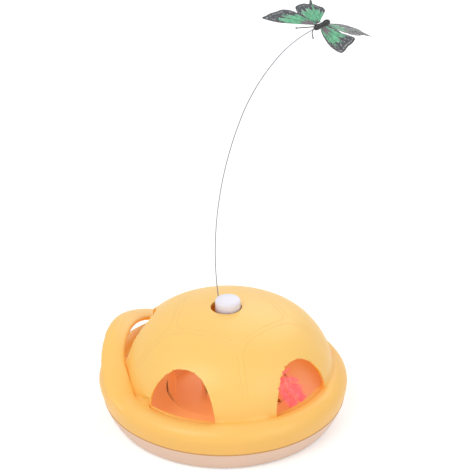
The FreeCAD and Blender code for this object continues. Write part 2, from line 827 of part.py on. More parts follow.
def make_drum():
    """Turning drum: floor, low ring wall with three notches, one raised shield, hollow column."""
    body = new_body("rotor_drum")
    floor = blank_sketch(body, "drum_section", "XZ_Plane")
    floor_top = "drum_floor + drum_floor_thick"
    points = [
        ("column_radius - column_wall", "drum_floor"),
        ("drum_radius", "drum_floor"),
        ("drum_radius", "drum_height"),
        ("drum_radius - drum_wall", "drum_height"),
        ("drum_radius - drum_wall", floor_top),
        ("column_radius", floor_top),
        ("column_radius", "column_top"),
        ("bush_radius", "column_top"),
        ("bush_radius", "column_top - column_wall"),
        ("column_radius - column_wall", "column_top - column_wall"),
    ]
    outline(floor, points)
    revolve(body, floor, "drum")
    shield = blank_sketch(body, "shield_section", "XZ_Plane")
    low = "drum_height - drum_wall"
    rectangle(shield, "drum_radius - drum_wall", "drum_radius", low, "shield_height")
    raised = body.newObject("PartDesign::Revolution", "shield")
    raised.Profile = shield
    raised.ReferenceAxis = (shield, ["V_Axis"])
    bind(raised, Angle="2*shield_half_angle")
    raised.Midplane = True
    turn = size("notch_angle - shield_angle") + 90.0
    notch = blank_sketch(body, "notch_section", "XZ_Plane", ("0", "drum_height - notch_depth", "0"), turn)
    outline(notch, [("0", "0"), ("notch_half", "2*notch_depth"), ("-notch_half", "2*notch_depth")])
    gap = pocket(body, notch, "notch", "drum_radius + drum_wall", True)
    upright_axis_pattern(body, gap, "notches", "3", "360")
    bind(body, Placement__Rotation__Angle="shield_angle")
    keep(body, "rotor_drum")


def make_rotor_bush():
    """Bush in the column's top that turns on the pivot pin."""
    bearing = new_body("rotor_bush")
    ring = blank_sketch(bearing, "bush_section", "XZ_Plane")
    low = "column_top - column_wall - drum_wall"
    points = [
        ("pivot_radius + running_gap", low),
        ("bush_radius + drum_wall", low),
        ("bush_radius + drum_wall", "column_top - column_wall"),
        ("bush_radius", "column_top - column_wall"),
        ("bush_radius", "column_top"),
        ("0", "column_top"),
        ("0", "pivot_top + seat_gap"),
        ("pivot_radius + running_gap", "pivot_top + seat_gap"),
    ]
    outline(ring, points)
    revolve(bearing, ring, "bush")
    keep(bearing, "rotor_bush")


def make_drive_post():
    """Post on the column's top that carries the cap through the crown hole."""
    post = new_body("drive_post")
    stem = blank_sketch(post, "post_section", "XZ_Plane")
    points = [
        ("0", "column_top"),
        ("column_radius - column_wall", "column_top"),
        ("column_radius - 3*column_wall", "column_top + column_wall"),
        ("drive_radius + column_wall", "column_top + 2*column_wall"),
        ("drive_radius", "column_top + 5*column_wall"),
        ("drive_radius", "drive_top"),
        ("0", "drive_top"),
    ]
    outline(stem, points)
    revolve(post, stem, "stem")
    keep(post, "drive_post")


def make_cap(wire):
    """Round cap over the post, with a soft edge and a slightly raised crown."""
    body = new_body("top_cap")
    section = blank_sketch(body, "cap_section", "XZ_Plane")
    points = [
        ("0", "drive_top"),
        ("cap_radius - cap_edge/3", "drive_top"),
        ("cap_radius", "drive_top + cap_edge/2"),
        ("cap_radius", "cap_top - cap_edge - cap_crown"),
        ("cap_radius - cap_edge", "cap_top - cap_crown"),
        ("0", "cap_top"),
    ]
    sphere = "((cap_radius - cap_edge)^2 + cap_crown^2)/(2*cap_crown)"
    outline(section, points, {3: ("cap_edge", 1), 4: (sphere, 1)})
    revolve(body, section, "cap")
    keep(cut("cap_with_wire_way", body, wire), "top_cap")


WIRE_RUNS = ((111.5, 17.1), (67.0, 10.4), (60.5, 18.8), (42.0, 24.2))
WIRE_LEAN = -7.6


def view_point(across, up, back=0.0):
    """A point of the upright plane that holds the wire and the butterfly."""
    turn = math.radians(size("view_turn"))
    deep = size("wire_back") + back
    x = across * math.cos(turn) - deep * math.sin(turn)
    y = across * math.sin(turn) + deep * math.cos(turn)
    return Vector(x, y, up)


def wire_route():
    """Arcs of the wire, each tangent to the last, and its end point."""
    lean = math.radians(WIRE_LEAN)
    across, up = size("wire_side"), size("cap_top - wire_seat")
    arcs = []
    for length, bend in WIRE_RUNS:
        turn = math.radians(bend)
        radius = length / turn
        spots = []
        for share in (0.0, 0.5, 1.0):
            angle = lean + turn * share
            x = across + radius * (math.cos(lean) - math.cos(angle))
            z = up + radius * (math.sin(angle) - math.sin(lean))
            spots.append((x, z))
        arcs.append(spots)
        across, up = spots[-1]
        lean += turn
    return arcs, (across, up)


def make_wire():
    """Spring wire from the cap to the butterfly's body."""
    arcs, end = wire_route()
    edges = [Part.Arc(*[view_point(x, z) for x, z in spots]).toShape() for spots in arcs]
    path = Part.Wire(edges)
    start = path.Vertexes[0].Point
    along = edges[0].tangentAt(edges[0].FirstParameter)
    ring = Part.Wire([Part.Circle(start, along, size("wire_radius")).toShape()])
    solid = path.makePipeShell([ring], True, False)
    print("wire length %.1f mm, end %.1f %.1f" % (path.Length, end[0], end[1]))
    return feature("spring_wire", solid.cut(butterfly_lobes()))


def smooth_face(stretches, centre_x, centre_z, back):
    """A flat face bounded by smooth curves, each through its own points, in the upright plane."""
    edges = []
    for stretch in stretches:
        spots = [view_point(centre_x + x, centre_z + z, back) for x, z in stretch]
        if len(spots) == 2:
            edges.append(Part.LineSegment(*spots).toShape())
            continue
        curve = Part.BSplineCurve()
        curve.interpolate(spots)
        edges.append(curve.toShape())
    return Part.Face(Part.Wire(edges))


FORE_LEFT = (
    ((-1.6, 0.0), (-21.9, 9.7)),
    ((-21.9, 9.7), (-29.2, 12.6), (-39.0, 11.6), (-47.5, 7.8), (-49.9, 5.6)),
    ((-49.9, 5.6), (-45.0, 2.0), (-37.0, 0.6), (-28.0, 1.2), (-19.4, -0.4), (-4.2, -2.0)),
    ((-4.2, -2.0), (-1.6, 0.0)),
)
HIND_LEFT = (
    ((-1.8, 0.2), (-9.0, 6.4), (-17.5, 9.0)),
    ((-17.5, 9.0), (-20.4, 11.8), (-18.4, 15.4), (-14.0, 16.9), (-12.6, 18.2)),
    ((-12.6, 18.2), (-11.6, 21.6), (-9.4, 18.2)),
    ((-9.4, 18.2), (-5.0, 16.4), (-0.6, 13.2), (2.4, 9.4), (2.4, 1.6)),
    ((2.4, 1.6), (-1.8, 0.2)),
)
FORE_RIGHT = (
    ((-2.4, -1.6), (1.0, -9.4), (5.2, -15.6), (9.4, -20.8), (14.4, -23.8)),
    ((14.4, -23.8), (19.6, -21.6), (23.2, -17.2), (24.6, -12.6)),
    ((24.6, -12.6), (21.0, -10.2), (17.4, -9.0), (11.0, -5.4), (2.4, 0.6)),
    ((2.4, 0.6), (-2.4, -1.6)),
)
HIND_RIGHT = (
    ((3.6, 2.2), (10.0, 0.6), (17.3, -1.6), (25.4, -4.4), (31.4, -8.8)),
    ((31.4, -8.8), (34.6, -10.2), (37.4, -11.8)),
    ((37.4, -11.8), (33.0, -12.8), (29.6, -13.4)),
    ((29.6, -13.4), (24.6, -14.6), (20.4, -12.4), (13.0, -8.2), (4.4, -0.6)),
    ((4.4, -0.6), (3.6, 2.2)),
)


def butterfly_place():
    """Middle of the butterfly's body, from the end of the wire."""
    end = wire_route()[1]
    return end[0] + 4.0, end[1] + 2.2


def make_wings():
    """Four printed film wings in two layers behind the body."""
    middle_x, middle_z = butterfly_place()
    thick = size("wing_thick")
    turn = math.radians(size("view_turn"))
    outward = Vector(-math.sin(turn), math.cos(turn), 0)
    hinge = view_point(middle_x, middle_z, 0.3)
    lobes = butterfly_lobes()
    layers = (
        ("wing_fore_left", FORE_LEFT, 0.0, -1.0),
        ("wing_hind_left", HIND_LEFT, 1.0, -1.0),
        ("wing_fore_right", FORE_RIGHT, 0.0, 1.0),
        ("wing_hind_right", HIND_RIGHT, 1.0, 1.0),
    )
    for name, stretches, layer, side in layers:
        face = smooth_face(stretches, middle_x, middle_z, 0.3 + layer * (thick + 0.1))
        solid = face.extrude(outward * thick)
        solid.rotate(hinge, body_axis(), side * size("wing_dihedral"))
        feature(name, solid.cut(lobes))


def body_axis():
    """Direction of the butterfly's body, from head to tail end."""
    head = view_point(-4.6, -2.4)
    tail = view_point(4.0, 2.4)
    return (tail - head).normalize()


def butterfly_lobes():
    """Head and thorax lobe, and a longer abdomen lobe."""
    middle_x, middle_z = butterfly_place()
    axis = body_axis()
    middle = view_point(middle_x, middle_z)
    head = long_lobe(middle - axis * 3.3, axis, 3.0, 2.1)
    tail = long_lobe(middle + axis * 2.6, axis, 3.8, 1.9)
    return head.fuse(tail)


def make_butterfly_body():
    """Black body on the wire's end, with two thin antennae that end in knobs."""
    middle_x, middle_z = butterfly_place()
    axis = body_axis()
    lobes = butterfly_lobes()
    feature("butterfly_body", lobes)
    for name, tip in (("antenna_left", (-19.6, -2.6)), ("antenna_right", (-8.4, -12.4))):
        start = view_point(middle_x, middle_z) - axis * 4.6
        end = view_point(middle_x + tip[0], middle_z + tip[1], -2.5)
        feature(name, antenna(start, end).cut(lobes))


def antenna(start, end):
    """A thin rod with a round knob at its far end, turned in one piece about its own axis."""
    reach = (end - start).Length
    rod = size("antenna_radius")
    knob = size("antenna_knob")
    foot = Vector(0, 0, 0)
    root = Vector(rod, 0, 0)
    collar = Vector(rod, 0, reach - math.sqrt(knob ** 2 - rod ** 2))
    side = Vector(knob, 0, reach)
    top = Vector(0, 0, reach + knob)
    edges = [
        Part.makeLine(foot, root),
        Part.makeLine(root, collar),
        Part.Arc(collar, side, top).toShape(),
        Part.makeLine(top, foot),
    ]
    solid = Part.Face(Part.Wire(edges)).revolve(foot, Vector(0, 0, 1), 360)
    solid.Placement = Placement(start, Rotation(Vector(0, 0, 1), end - start))
    return solid


def long_lobe(middle, axis, half_length, radius):
    """An egg-shaped lobe: a sphere stretched along an axis."""
    ball = Part.makeSphere(1.0)
    matrix = FreeCAD.Matrix()
    matrix.scale(radius, radius, half_length)
    lobe = ball.transformGeometry(matrix)
    lobe.Placement = Placement(middle, Rotation(Vector(0, 0, 1), axis))
    return lobe


def polar(angle, radius, height):
    """A point by its direction from the turning axis in degrees, its distance and its height."""
    return Vector(radius * math.cos(math.radians(angle)), radius * math.sin(math.radians(angle)), height)


PLUME_HANG = ((3.5, 45.0), (10.0, 37.5), (19.0, 27.0))
PLUME_WIDTHS = ((0.0, 0.12), (0.12, 0.5), (0.3, 0.85), (0.5, 1.0), (0.7, 0.92), (0.86, 0.66), (1.0, 0.2))


def quill_shape(notch, inside, low, crest):
    """Thin round quill that bows inward between the clip and the crest."""
    foot = polar(notch, inside, low + size("quill_foot"))
    bend = polar(notch, inside - size("quill_bow"), low + size("quill_bend"))
    arc = Part.Arc(foot, bend, crest)
    along = Vector(*arc.tangent(arc.FirstParameter)[0])
    ring = Part.Wire([Part.Circle(foot, along, size("quill_radius")).toShape()])
    return Part.Wire([arc.toShape()]).makePipeShell([ring], True, False)


def plume_shape(notch, inside, crest):
    """Flat plume that hangs outward from the crest, its broad side toward the camera."""
    curve = Part.BSplineCurve()
    curve.interpolate([crest] + [polar(notch, inside + out, height) for out, height in PLUME_HANG])
    around_up = math.radians(size("camera_side"))
    rise = math.radians(size("camera_rise"))
    level = math.cos(rise)
    facing = Vector(math.cos(around_up) * level, math.sin(around_up) * level, math.sin(rise))
    profiles = []
    for share, width in PLUME_WIDTHS:
        parameter = curve.FirstParameter + (curve.LastParameter - curve.FirstParameter) * share
        centre = curve.value(parameter)
        along = Vector(*curve.tangent(parameter)[0])
        flat = facing.cross(along).normalize()
        normal = along.cross(flat)
        half_width = size("plume_width") * width
        ellipse = Part.Ellipse(Vector(0, 0, 0), half_width, size("plume_thick")).toShape()
        frame = FreeCAD.Matrix(
            flat.x, normal.x, along.x, centre.x,
            flat.y, normal.y, along.y, centre.y,
            flat.z, normal.z, along.z, centre.z,
            0, 0, 0, 1,
        )
        ellipse.Placement = Placement(frame)
        profiles.append(Part.Wire([ellipse]))
    return Part.makeLoft(profiles, True, False)


def make_feather():
    """Feather: a clip in a notch of the ring wall, a thin quill that rises from it, and a flat
    plume that hangs outward from the quill's top."""
    notch = size("notch_angle")
    inside = size("drum_radius - drum_wall - clip_inset")
    low = size("drum_floor + drum_floor_thick")
    depth, width = size("clip_depth"), size("clip_width")
    clip = Part.makeBox(depth, width, size("clip_height"), Vector(-depth / 2, -width / 2, 0.0))
    long_edges = [edge for edge in clip.Edges if edge.Length > (depth + width) / 2]
    clip = clip.makeChamfer(size("clip_edge"), long_edges)
    clip.Placement = Placement(polar(notch, inside, low), Rotation(Vector(0, 0, 1), notch))
    crest = polar(notch, inside - size("crest_inset"), size("crest_height"))
    quill = quill_shape(notch, inside, low, crest)
    feature("feather_clip", clip.cut(quill))
    feature("feather_quill", quill)
    feature("feather_plume", plume_shape(notch, inside, crest).cut(quill))


def make_batteries():
    """Two cells side by side, a plate at one end and coil springs at the other."""
    near, _, half = bay_size()
    first = near + " - cell_gap/2 - cell_radius"
    second = first + " - cell_gap - 2*cell_radius"
    for index, (x, turn) in enumerate(((first, 90.0), (second, -90.0))):
        side = -1.0 if turn > 0 else 1.0
        can = cylinder("cell_can_%d" % index, "cell_radius", "cell_length")
        nub = cylinder("cell_nub_%d" % index, "cell_nub_radius", "cell_nub", z="-cell_nub")
        cell = fuse("cell_%d" % index, [can, nub])
        cell.Placement = Placement(Vector(0, 0, 0), Rotation(Vector(1, 0, 0), -90.0 if side < 0 else 90.0))
        plate_gap = "wall/2"
        y = "%d*(%s - %s - cell_nub)" % (int(side), half, plate_gap)
        place(cell, x, y, "cell_height")
        keep(cell, "battery_cell_%d" % (index + 1))
        for end, inset in (("contact", "wall/4"), ("spring_plate", "wall/4")):
            sign = side if end == "contact" else -side
            plate = block(
                "%s_%d_block" % (end, index),
                "1.5*cell_radius",
                inset,
                "1.5*cell_radius",
                x,
                "%d*(%s - %s/2)" % (int(sign), half, inset),
                "cell_height - 0.75*cell_radius",
            )
            keep(plate, "battery_%s_%d" % (end, index + 1))
        cell_end = size(y) - side * size("cell_length")
        make_cell_spring(index, size(x), -side, size(half) - size("wall/4"), cell_end)


def make_cell_spring(index, x, side, plate, cell_end):
    """Coil spring between its plate and the flat end of its cell."""
    thick = size("coil_thick")
    start = side * (plate - thick)
    length = abs(start - cell_end) - thick
    turns = 3.0
    outset = size("cell_nub_radius + coil_outset")
    helix = Part.makeHelix(length / turns, length, outset)
    ring = Part.Wire([Part.Circle(Vector(outset, 0, 0), Vector(0, 1, 0), thick).toShape()])
    coil = Part.Wire(helix).makePipeShell([ring], True, True)
    coil.Placement = Placement(Vector(x, start, size("cell_height")), Rotation(Vector(1, 0, 0), 90.0 * side))
    feature("battery_spring_%d" % (index + 1), coil)


def make_door():
    """Battery door: a plate with a round hinge edge and two pins, and a finger notch."""
    near, far, half = bay_size()
    middle = near + " - door_thick/2 - door_gap"
    width = "2*(%s - door_gap)" % half
    body = new_body("battery_door")
    plate = blank_sketch(body, "door_sketch", "XY_Plane")
    rectangle(plate, far + " + door_gap", middle, "-(%s)/2" % width, "(%s)/2" % width)
    pad(body, plate, "door_plate", "door_thick")
    grip = blank_sketch(body, "grip_sketch", "XY_Plane")
    circle(grip, far + " + door_gap", "0", "head_radius")
    pocket(body, grip, "grip", "door_thick/2", True)
    barrel = cylinder("door_barrel", "door_thick/2", width)
    barrel.Placement = Placement(Vector(0, 0, 0), Rotation(Vector(1, 0, 0), -90))
    place(barrel, middle, "-(%s)/2" % width, "door_thick/2")
    pins = cylinder("door_pins", "door_pin_radius", width + " + 2*door_gap + bay_wall")
    pins.Placement = Placement(Vector(0, 0, 0), Rotation(Vector(1, 0, 0), -90))
    place(pins, middle, "-(%s)/2 - door_gap - bay_wall/2" % width, "door_thick/2")
    keep(fuse("door_whole", [body, barrel, pins]), "battery_door")


def make_switch():
    """Circuit board on two posts, the switch under it and its knob in the tray's slot."""
    across = "switch_distance"
    board = block("board_block", "board_width", "board_length", "board_thick", across, "0", "board_height")
    keep(board, "circuit_board")
    middle = "knob_travel/2"
    bottom = "board_height - switch_height"
    can = block("switch_block", "switch_width", "switch_length", "switch_height", across, middle, bottom)
    way = block(
        "switch_way",
        "knob_width/2 + 2*door_gap",
        "knob_length/2 + knob_travel + 2*door_gap",
        "switch_height/2 + door_gap",
        across,
        middle,
        bottom + " - door_gap",
    )
    keep(cut("switch_cut", can, way), "power_switch")
    low = "knob_recess"
    rise = "board_height - switch_height - door_gap - knob_recess"
    knob = block("knob_block", "knob_width", "knob_length", rise, across, "0", low)
    rise = "board_height - switch_height/2 - door_gap - knob_recess"
    stem = block("knob_stem", "knob_width/2", "knob_length/2", rise, across, "0", low)
    keep(fuse("knob_whole", [knob, stem]), "switch_knob")


def make_fasteners():
    """Five shell screws from below, in one node, and the three screws of the motor plate."""
    screws = []
    count = int(size("side_count"))
    for index in range(count):
        x = "post_circle*cos(%g) - rim_shift" % (360.0 * index / count)
        y = "post_circle*sin(%g)" % (360.0 * index / count)
        head = cylinder("shell_screw_head_%d" % index, "head_radius", "head_thick", x, y, "head_depth")
        reach = "deck_top + screw_reach - head_depth"
        shank = cylinder("shell_screw_shank_%d" % index, "screw_radius", reach, x, y, "head_depth")
        screws.append(fuse("shell_screw_%d" % index, [head, shank]))
    gather("shell_screws", screws)
    screws = []
    for index, angle in enumerate(pillar_angles()):
        x = "pillar_circle*cos(%g)" % angle
        y = "pillar_circle*sin(%g)" % angle
        name = "plate_screw_%d" % index
        seat = "plate_height + plate_thick"
        screws.append(cylinder(name, "plate_screw_radius", "head_thick/2", x, y, seat))
    gather("plate_screws", screws)


def gather(name, things):
    """Several separate solids in one node."""
    doc.recompute()
    feature(name, Part.makeCompound([thing.Shape.copy() for thing in things]))


FOOT_ANGLES = (36.0, 108.0, -108.0, -36.0)


def make_feet():
    """Four rubber feet, as discs under the tray."""
    for index, angle in enumerate(FOOT_ANGLES, 1):
        x = "foot_circle*cos(%g) - rim_shift" % angle
        y = "foot_circle*sin(%g)" % angle
        disc = cylinder("foot_disc_%d" % index, "foot_radius", "foot_drop", x, y, "-foot_drop")
        keep(disc, "rubber_foot_%d" % index)


def check_and_write():
    """Stop on any failed feature or empty node, then write one STEP file for each node."""
    doc.recompute()
    for thing in doc.Objects:
        if "Invalid" in thing.State or "Error" in thing.State:
            raise RuntimeError("%s failed: %s" % (thing.Name, thing.State))
    for node in nodes:
        if node.Shape.isNull() or not node.Shape.isValid() or not node.Shape.Solids:
            raise RuntimeError(node.Label + " has no valid solid")
    os.makedirs("parts", exist_ok=True)
    for node in nodes:
        node.Shape.exportStep("parts/%s.step" % node.Label)
        print("%-18s %2d solid %10.1f mm3" % (node.Label, len(node.Shape.Solids), node.Shape.Volume))


make_top_shell()
make_seam_ring()
make_inner_deck()
make_base_tray()
make_gears()
make_motor()
make_drum()
make_rotor_bush()
make_drive_post()
spring_wire = make_wire()
make_cap(spring_wire)
make_wings()
make_butterfly_body()
make_feather()
make_batteries()
make_door()
make_switch()
make_fasteners()
make_feet()
check_and_write()
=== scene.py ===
import bmesh
import bpy
import math
import random
from functools import partial
from mathutils import Matrix, Vector
from mathutils.bvhtree import BVHTree


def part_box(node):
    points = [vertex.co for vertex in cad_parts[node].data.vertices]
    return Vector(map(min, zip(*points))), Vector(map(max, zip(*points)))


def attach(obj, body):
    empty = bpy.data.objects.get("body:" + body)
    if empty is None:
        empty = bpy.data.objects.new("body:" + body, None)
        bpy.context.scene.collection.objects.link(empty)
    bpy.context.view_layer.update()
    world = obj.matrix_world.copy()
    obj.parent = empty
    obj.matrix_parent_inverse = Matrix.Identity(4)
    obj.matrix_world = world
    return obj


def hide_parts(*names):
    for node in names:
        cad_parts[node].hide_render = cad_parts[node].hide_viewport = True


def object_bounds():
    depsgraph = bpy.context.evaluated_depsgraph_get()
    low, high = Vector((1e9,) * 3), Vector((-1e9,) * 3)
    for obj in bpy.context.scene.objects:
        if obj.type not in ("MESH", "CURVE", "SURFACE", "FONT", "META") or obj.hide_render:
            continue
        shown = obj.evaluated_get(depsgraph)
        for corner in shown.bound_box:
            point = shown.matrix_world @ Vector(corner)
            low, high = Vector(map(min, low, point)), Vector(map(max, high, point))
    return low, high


bl_info = {
    "name": "Automatic cat feather toy",
    "version": (1, 0, 0),
    "blender": (4, 5, 0),
    "location": "3D Viewport > Sidebar > Cat Toy",
    "description": "Dresses the turtle-shell cat toy: plastics, drum, feather, wire, butterfly and studio",
    "category": "Object",
}

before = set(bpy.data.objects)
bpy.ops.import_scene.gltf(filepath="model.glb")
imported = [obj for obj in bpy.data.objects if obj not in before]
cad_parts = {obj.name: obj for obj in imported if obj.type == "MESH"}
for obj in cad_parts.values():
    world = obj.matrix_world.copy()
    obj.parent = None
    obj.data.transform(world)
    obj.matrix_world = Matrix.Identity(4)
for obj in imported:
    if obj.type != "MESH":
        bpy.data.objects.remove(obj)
CAD_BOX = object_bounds()

MM = 0.001

# the photograph's camera, in degrees and in pixels of the picture
CAMERA_DOWN = 26.4
CAMERA_TURN = 8.2
HALF_PICTURE = 235.0
FOCAL_LENGTH = 1547.0


def linear(red, green, blue):
    """A colour given as screen values from 0 to 255, as the scene needs it."""
    def one(value):
        share = value / 255.0
        return share / 12.92 if share <= 0.04045 else ((share + 0.055) / 1.055) ** 2.4
    return one(red), one(green), one(blue)


def colour(name, description, red, green, blue):
    """A colour property."""
    return bpy.props.FloatVectorProperty(
        name=name, description=description, default=linear(red, green, blue),
        subtype="COLOR", size=3, min=0.0, max=1.0,
    )


def length(name, description, millimetres):
    """A length property, stored in metres."""
    return bpy.props.FloatProperty(
        name=name, description=description, default=millimetres * MM, unit="LENGTH", subtype="DISTANCE",
    )


def number(name, description, default, kind=bpy.props.FloatProperty, **limits):
    """A plain number property."""
    return kind(name=name, description=description, default=default, **limits)


def whole_number(name, description, default, **limits):
    """A whole number property."""
    return number(name, description, default, bpy.props.IntProperty, **limits)


def rotation(name, description, radians):
    """An angle property, stored in radians."""
    return number(name, description, radians, subtype="ANGLE", unit="ROTATION")


# sizes and colours that a user would change

class ShellLook(bpy.types.PropertyGroup):
    """Colours of the moulded plastics and the lines of the turtle shell."""
    shell: colour("Shell", "Yellow-orange of the dome, rim and handle", 254, 205, 112)
    # painted shade and bounced light: the one-coloured shell shows this deeper orange inside the dome
    inside: colour("Inside", "Orange inside the dome", 238, 170, 26)
    base: colour("Base", "Beige of the tray", 240, 207, 184)
    # painted shadow: the seam ring's brown stands for the shadow in the gap between shell and tray
    seam: colour("Seam", "Brown line between shell and tray", 206, 148, 88)
    cap: colour("Cap", "White of the cap in the crown", 236, 233, 243)
    # painted shade: the collar and its floor fill the gap round the cap with deep orange, standing for the
    # shade there
    shade_collar: colour("Collar", "Deep orange under the crown hole", 244, 160, 44)
    drum: colour("Drum", "Salmon of the drum and the deck", 236, 178, 122)
    corner_radius: length("Corner radius", "Distance of the pentagon's corners from the middle", 54.0)
    corner_round: length("Corner rounding", "Radius of the plates' corners", 9.0)
    line_gap: length("Line gap", "Half of the distance between the lines of two plates", 2.3)
    line_width: length("Line width", "Half of the width of one line", 0.9)
    line_foot: length("Line foot", "Height at which the lines down the dome end", 58.0)
    grain: length("Grain", "Size of the moulding grain", 0.6)
    through: colour("Through", "Light that comes through the thin wall", 255, 190, 16)
    glow: number("Glow", "Strength of the light through the wall", 0.27, min=0.0)
    skin_scale: number("Skin scale", "Share of the grid that the soft shell fills", 0.8, min=0.1, max=0.95)
    skin_triangles: whole_number("Skin triangles", "Most triangles of the soft shell", 190000, min=20000)
    blend_steps: whole_number("Blend steps", "Smoothing steps in the creases", 40, min=0)


class FeatherLook(bpy.types.PropertyGroup):
    """Sizes and colours of the down feather."""
    down: colour("Down", "Pink of the down", 250, 160, 172)
    shade: colour("Shade", "Deeper pink of the down", 246, 118, 142)
    barb_length: length("Barb length", "Longest barb", 15.0)
    barb_radius: length("Barb radius", "Half thickness of one barb", 0.26)
    fluff_length: length("Fluff length", "Longest fine strand on a barb", 2.6)
    lightness: number("Lightness", "Light that passes through the down", 0.3, min=0.0)
    barbs: whole_number("Barbs", "Barbs along the quill on each side", 58, min=4, max=200)
    seed: whole_number("Seed", "Seed of the barbs' unevenness", 7, min=0)


class ButterflyLook(bpy.types.PropertyGroup):
    """Sizes and colours of the printed wings and the body."""
    dark: colour("Dark", "Dark grey field and margin of the wings", 62, 66, 70)
    rose: colour("Rose", "Rosy grey at the roots of the wings", 128, 112, 122)
    band: colour("Band", "Mint green band", 118, 200, 156)
    pale: colour("Pale", "Pale streaks and line of the print", 206, 204, 208)
    body: colour("Body", "Black of the body", 12, 12, 14)
    film: length("Film", "Thickness of the wing film", 0.3)
    cup: length("Cup", "How far a wing bows out of its plane", 0.8)


class StudioLook(bpy.types.PropertyGroup):
    """The photograph's camera and light."""
    distance: length("Distance", "Camera distance from the turning axis, along the view", 1400.0)
    pitch: rotation("Pitch", "Downward tilt of the camera", math.radians(CAMERA_DOWN))
    turn: rotation("Turn", "Turn of the camera round the toy", math.radians(CAMERA_TURN))
    view_angle: rotation("View angle", "Full angle of view", 2.0 * math.atan(HALF_PICTURE / FOCAL_LENGTH))
    ambient: number("Ambient", "Strength of the even light", 0.62, min=0.0)
    floor_glow: number("Floor glow", "Whiteness that the floor shows the camera", 0.35, min=0.0)


# node helpers

def new_material(name):
    """A material with an empty tree but for its output."""
    material = bpy.data.materials.new(name)
    material.use_nodes = True
    tree = material.node_tree
    tree.nodes.clear()
    output = tree.nodes.new("ShaderNodeOutputMaterial")
    shader = tree.nodes.new("ShaderNodeBsdfPrincipled")
    tree.links.new(shader.outputs["BSDF"], output.inputs["Surface"])
    return material, tree, shader


def feed(tree, socket, value):
    """Give a socket a constant, or link it to another socket."""
    if isinstance(value, bpy.types.NodeSocket):
        tree.links.new(value, socket)
    else:
        socket.default_value = value


def math_node(tree, operation, *values):
    """One math step on numbers or sockets. Returns its output."""
    node = tree.nodes.new("ShaderNodeMath")
    node.operation = operation
    for socket, value in zip(node.inputs, values):
        feed(tree, socket, value)
    return node.outputs[0]


def mix_colour(tree, factor, first, second):
    """Blend of two colours, each a socket or a colour. Returns its output."""
    node = tree.nodes.new("ShaderNodeMix")
    node.data_type = "RGBA"
    node.clamp_factor = True
    feed(tree, node.inputs[0], factor)
    for socket, value in ((node.inputs[6], first), (node.inputs[7], second)):
        feed(tree, socket, value if isinstance(value, bpy.types.NodeSocket) else (*value[:3], 1.0))
    return node.outputs[2]


def smooth_mask(tree, value, low, high):
    """0 below low and 1 above high, with a soft step between. low may be above high."""
    node = tree.nodes.new("ShaderNodeMapRange")
    node.interpolation_type = "SMOOTHSTEP"
    tree.links.new(value, node.inputs["Value"])
    feed(tree, node.inputs["From Min"], low)
    feed(tree, node.inputs["From Max"], high)
    return node.outputs["Result"]


def object_position(tree):
    """Object coordinates and their three parts."""
    coordinate = tree.nodes.new("ShaderNodeTexCoord")
    split = tree.nodes.new("ShaderNodeSeparateXYZ")
    tree.links.new(coordinate.outputs["Object"], split.inputs[0])
    return coordinate.outputs["Object"], split.outputs


def noise(tree, vector, scale, detail=3.0, roughness=0.5):
    """A noise value at so many blotches to the metre."""
    node = tree.nodes.new("ShaderNodeTexNoise")
    tree.links.new(vector, node.inputs["Vector"])
    feed(tree, node.inputs["Scale"], scale)
    node.inputs["Detail"].default_value = detail
    node.inputs["Roughness"].default_value = roughness
    return node.outputs["Fac"]


def new_group(name, inputs, outputs):
    """A shader node group with typed sockets. inputs holds (name, type, default)."""
    group = bpy.data.node_groups.new(name, "ShaderNodeTree")
    for label, kind, default in inputs:
        socket = group.interface.new_socket(label, in_out="INPUT", socket_type=kind)
        if default is not None:
            socket.default_value = default
    for label, kind in outputs:
        group.interface.new_socket(label, in_out="OUTPUT", socket_type=kind)
    entry = group.nodes.new("NodeGroupInput")
    leave = group.nodes.new("NodeGroupOutput")
    return group, entry, leave


def moulded_group():
    """Fine grain and faint tone change of a moulded plastic surface."""
    name = "moulded surface"
    if name in bpy.data.node_groups:
        return bpy.data.node_groups[name]
    inputs = (
        ("Grain", "NodeSocketFloat", 0.0006),
        ("Depth", "NodeSocketFloat", 0.08),
        ("Tone", "NodeSocketFloat", 0.04),
        ("Roughness", "NodeSocketFloat", 0.45),
    )
    outputs = (("Tone", "NodeSocketFloat"), ("Roughness", "NodeSocketFloat"), ("Height", "NodeSocketFloat"))
    group, entry, leave = new_group(name, inputs, outputs)
    calc = partial(math_node, group)
    place = object_position(group)[0]
    fine = noise(group, place, calc("DIVIDE", 1.0, entry.outputs["Grain"]), 4.0, 0.6)
    broad = noise(group, place, 9.0, 2.0, 0.5)
    uneven = calc("SUBTRACT", fine, 0.5)
    swing = calc("MULTIPLY", calc("SUBTRACT", broad, 0.5), entry.outputs["Tone"])
    speck = calc("MULTIPLY", uneven, calc("MULTIPLY", entry.outputs["Tone"], 0.5))
    rough = calc("MULTIPLY_ADD", uneven, 0.12, entry.outputs["Roughness"])
    group.links.new(calc("ADD", calc("ADD", 1.0, swing), speck), leave.inputs["Tone"])
    group.links.new(rough, leave.inputs["Roughness"])
    group.links.new(calc("MULTIPLY", fine, entry.outputs["Depth"]), leave.inputs["Height"])
    return group


def moulded(tree, grain, depth, tone, roughness):
    """The moulded surface group, placed in a material with its own values."""
    node = tree.nodes.new("ShaderNodeGroup")
    node.node_tree = moulded_group()
    for label, value in (("Grain", grain), ("Depth", depth), ("Tone", tone), ("Roughness", roughness)):
        node.inputs[label].default_value = value
    return node


def bump(tree, shader, height, distance):
    """Feed a height into the shader's normal."""
    node = tree.nodes.new("ShaderNodeBump")
    node.inputs["Distance"].default_value = distance
    node.inputs["Strength"].default_value = 1.0
    tree.links.new(height, node.inputs["Height"])
    tree.links.new(node.outputs["Normal"], shader.inputs["Normal"])


def scaled_colour(tree, tint, factor):
    """A colour or a colour socket, made lighter or darker by a socket's value."""
    node = tree.nodes.new("ShaderNodeVectorMath")
    node.operation = "SCALE"
    feed(tree, node.inputs[0], tint if isinstance(tint, bpy.types.NodeSocket) else tuple(tint[:3]))
    tree.links.new(factor, node.inputs["Scale"])
    return node.outputs[0]


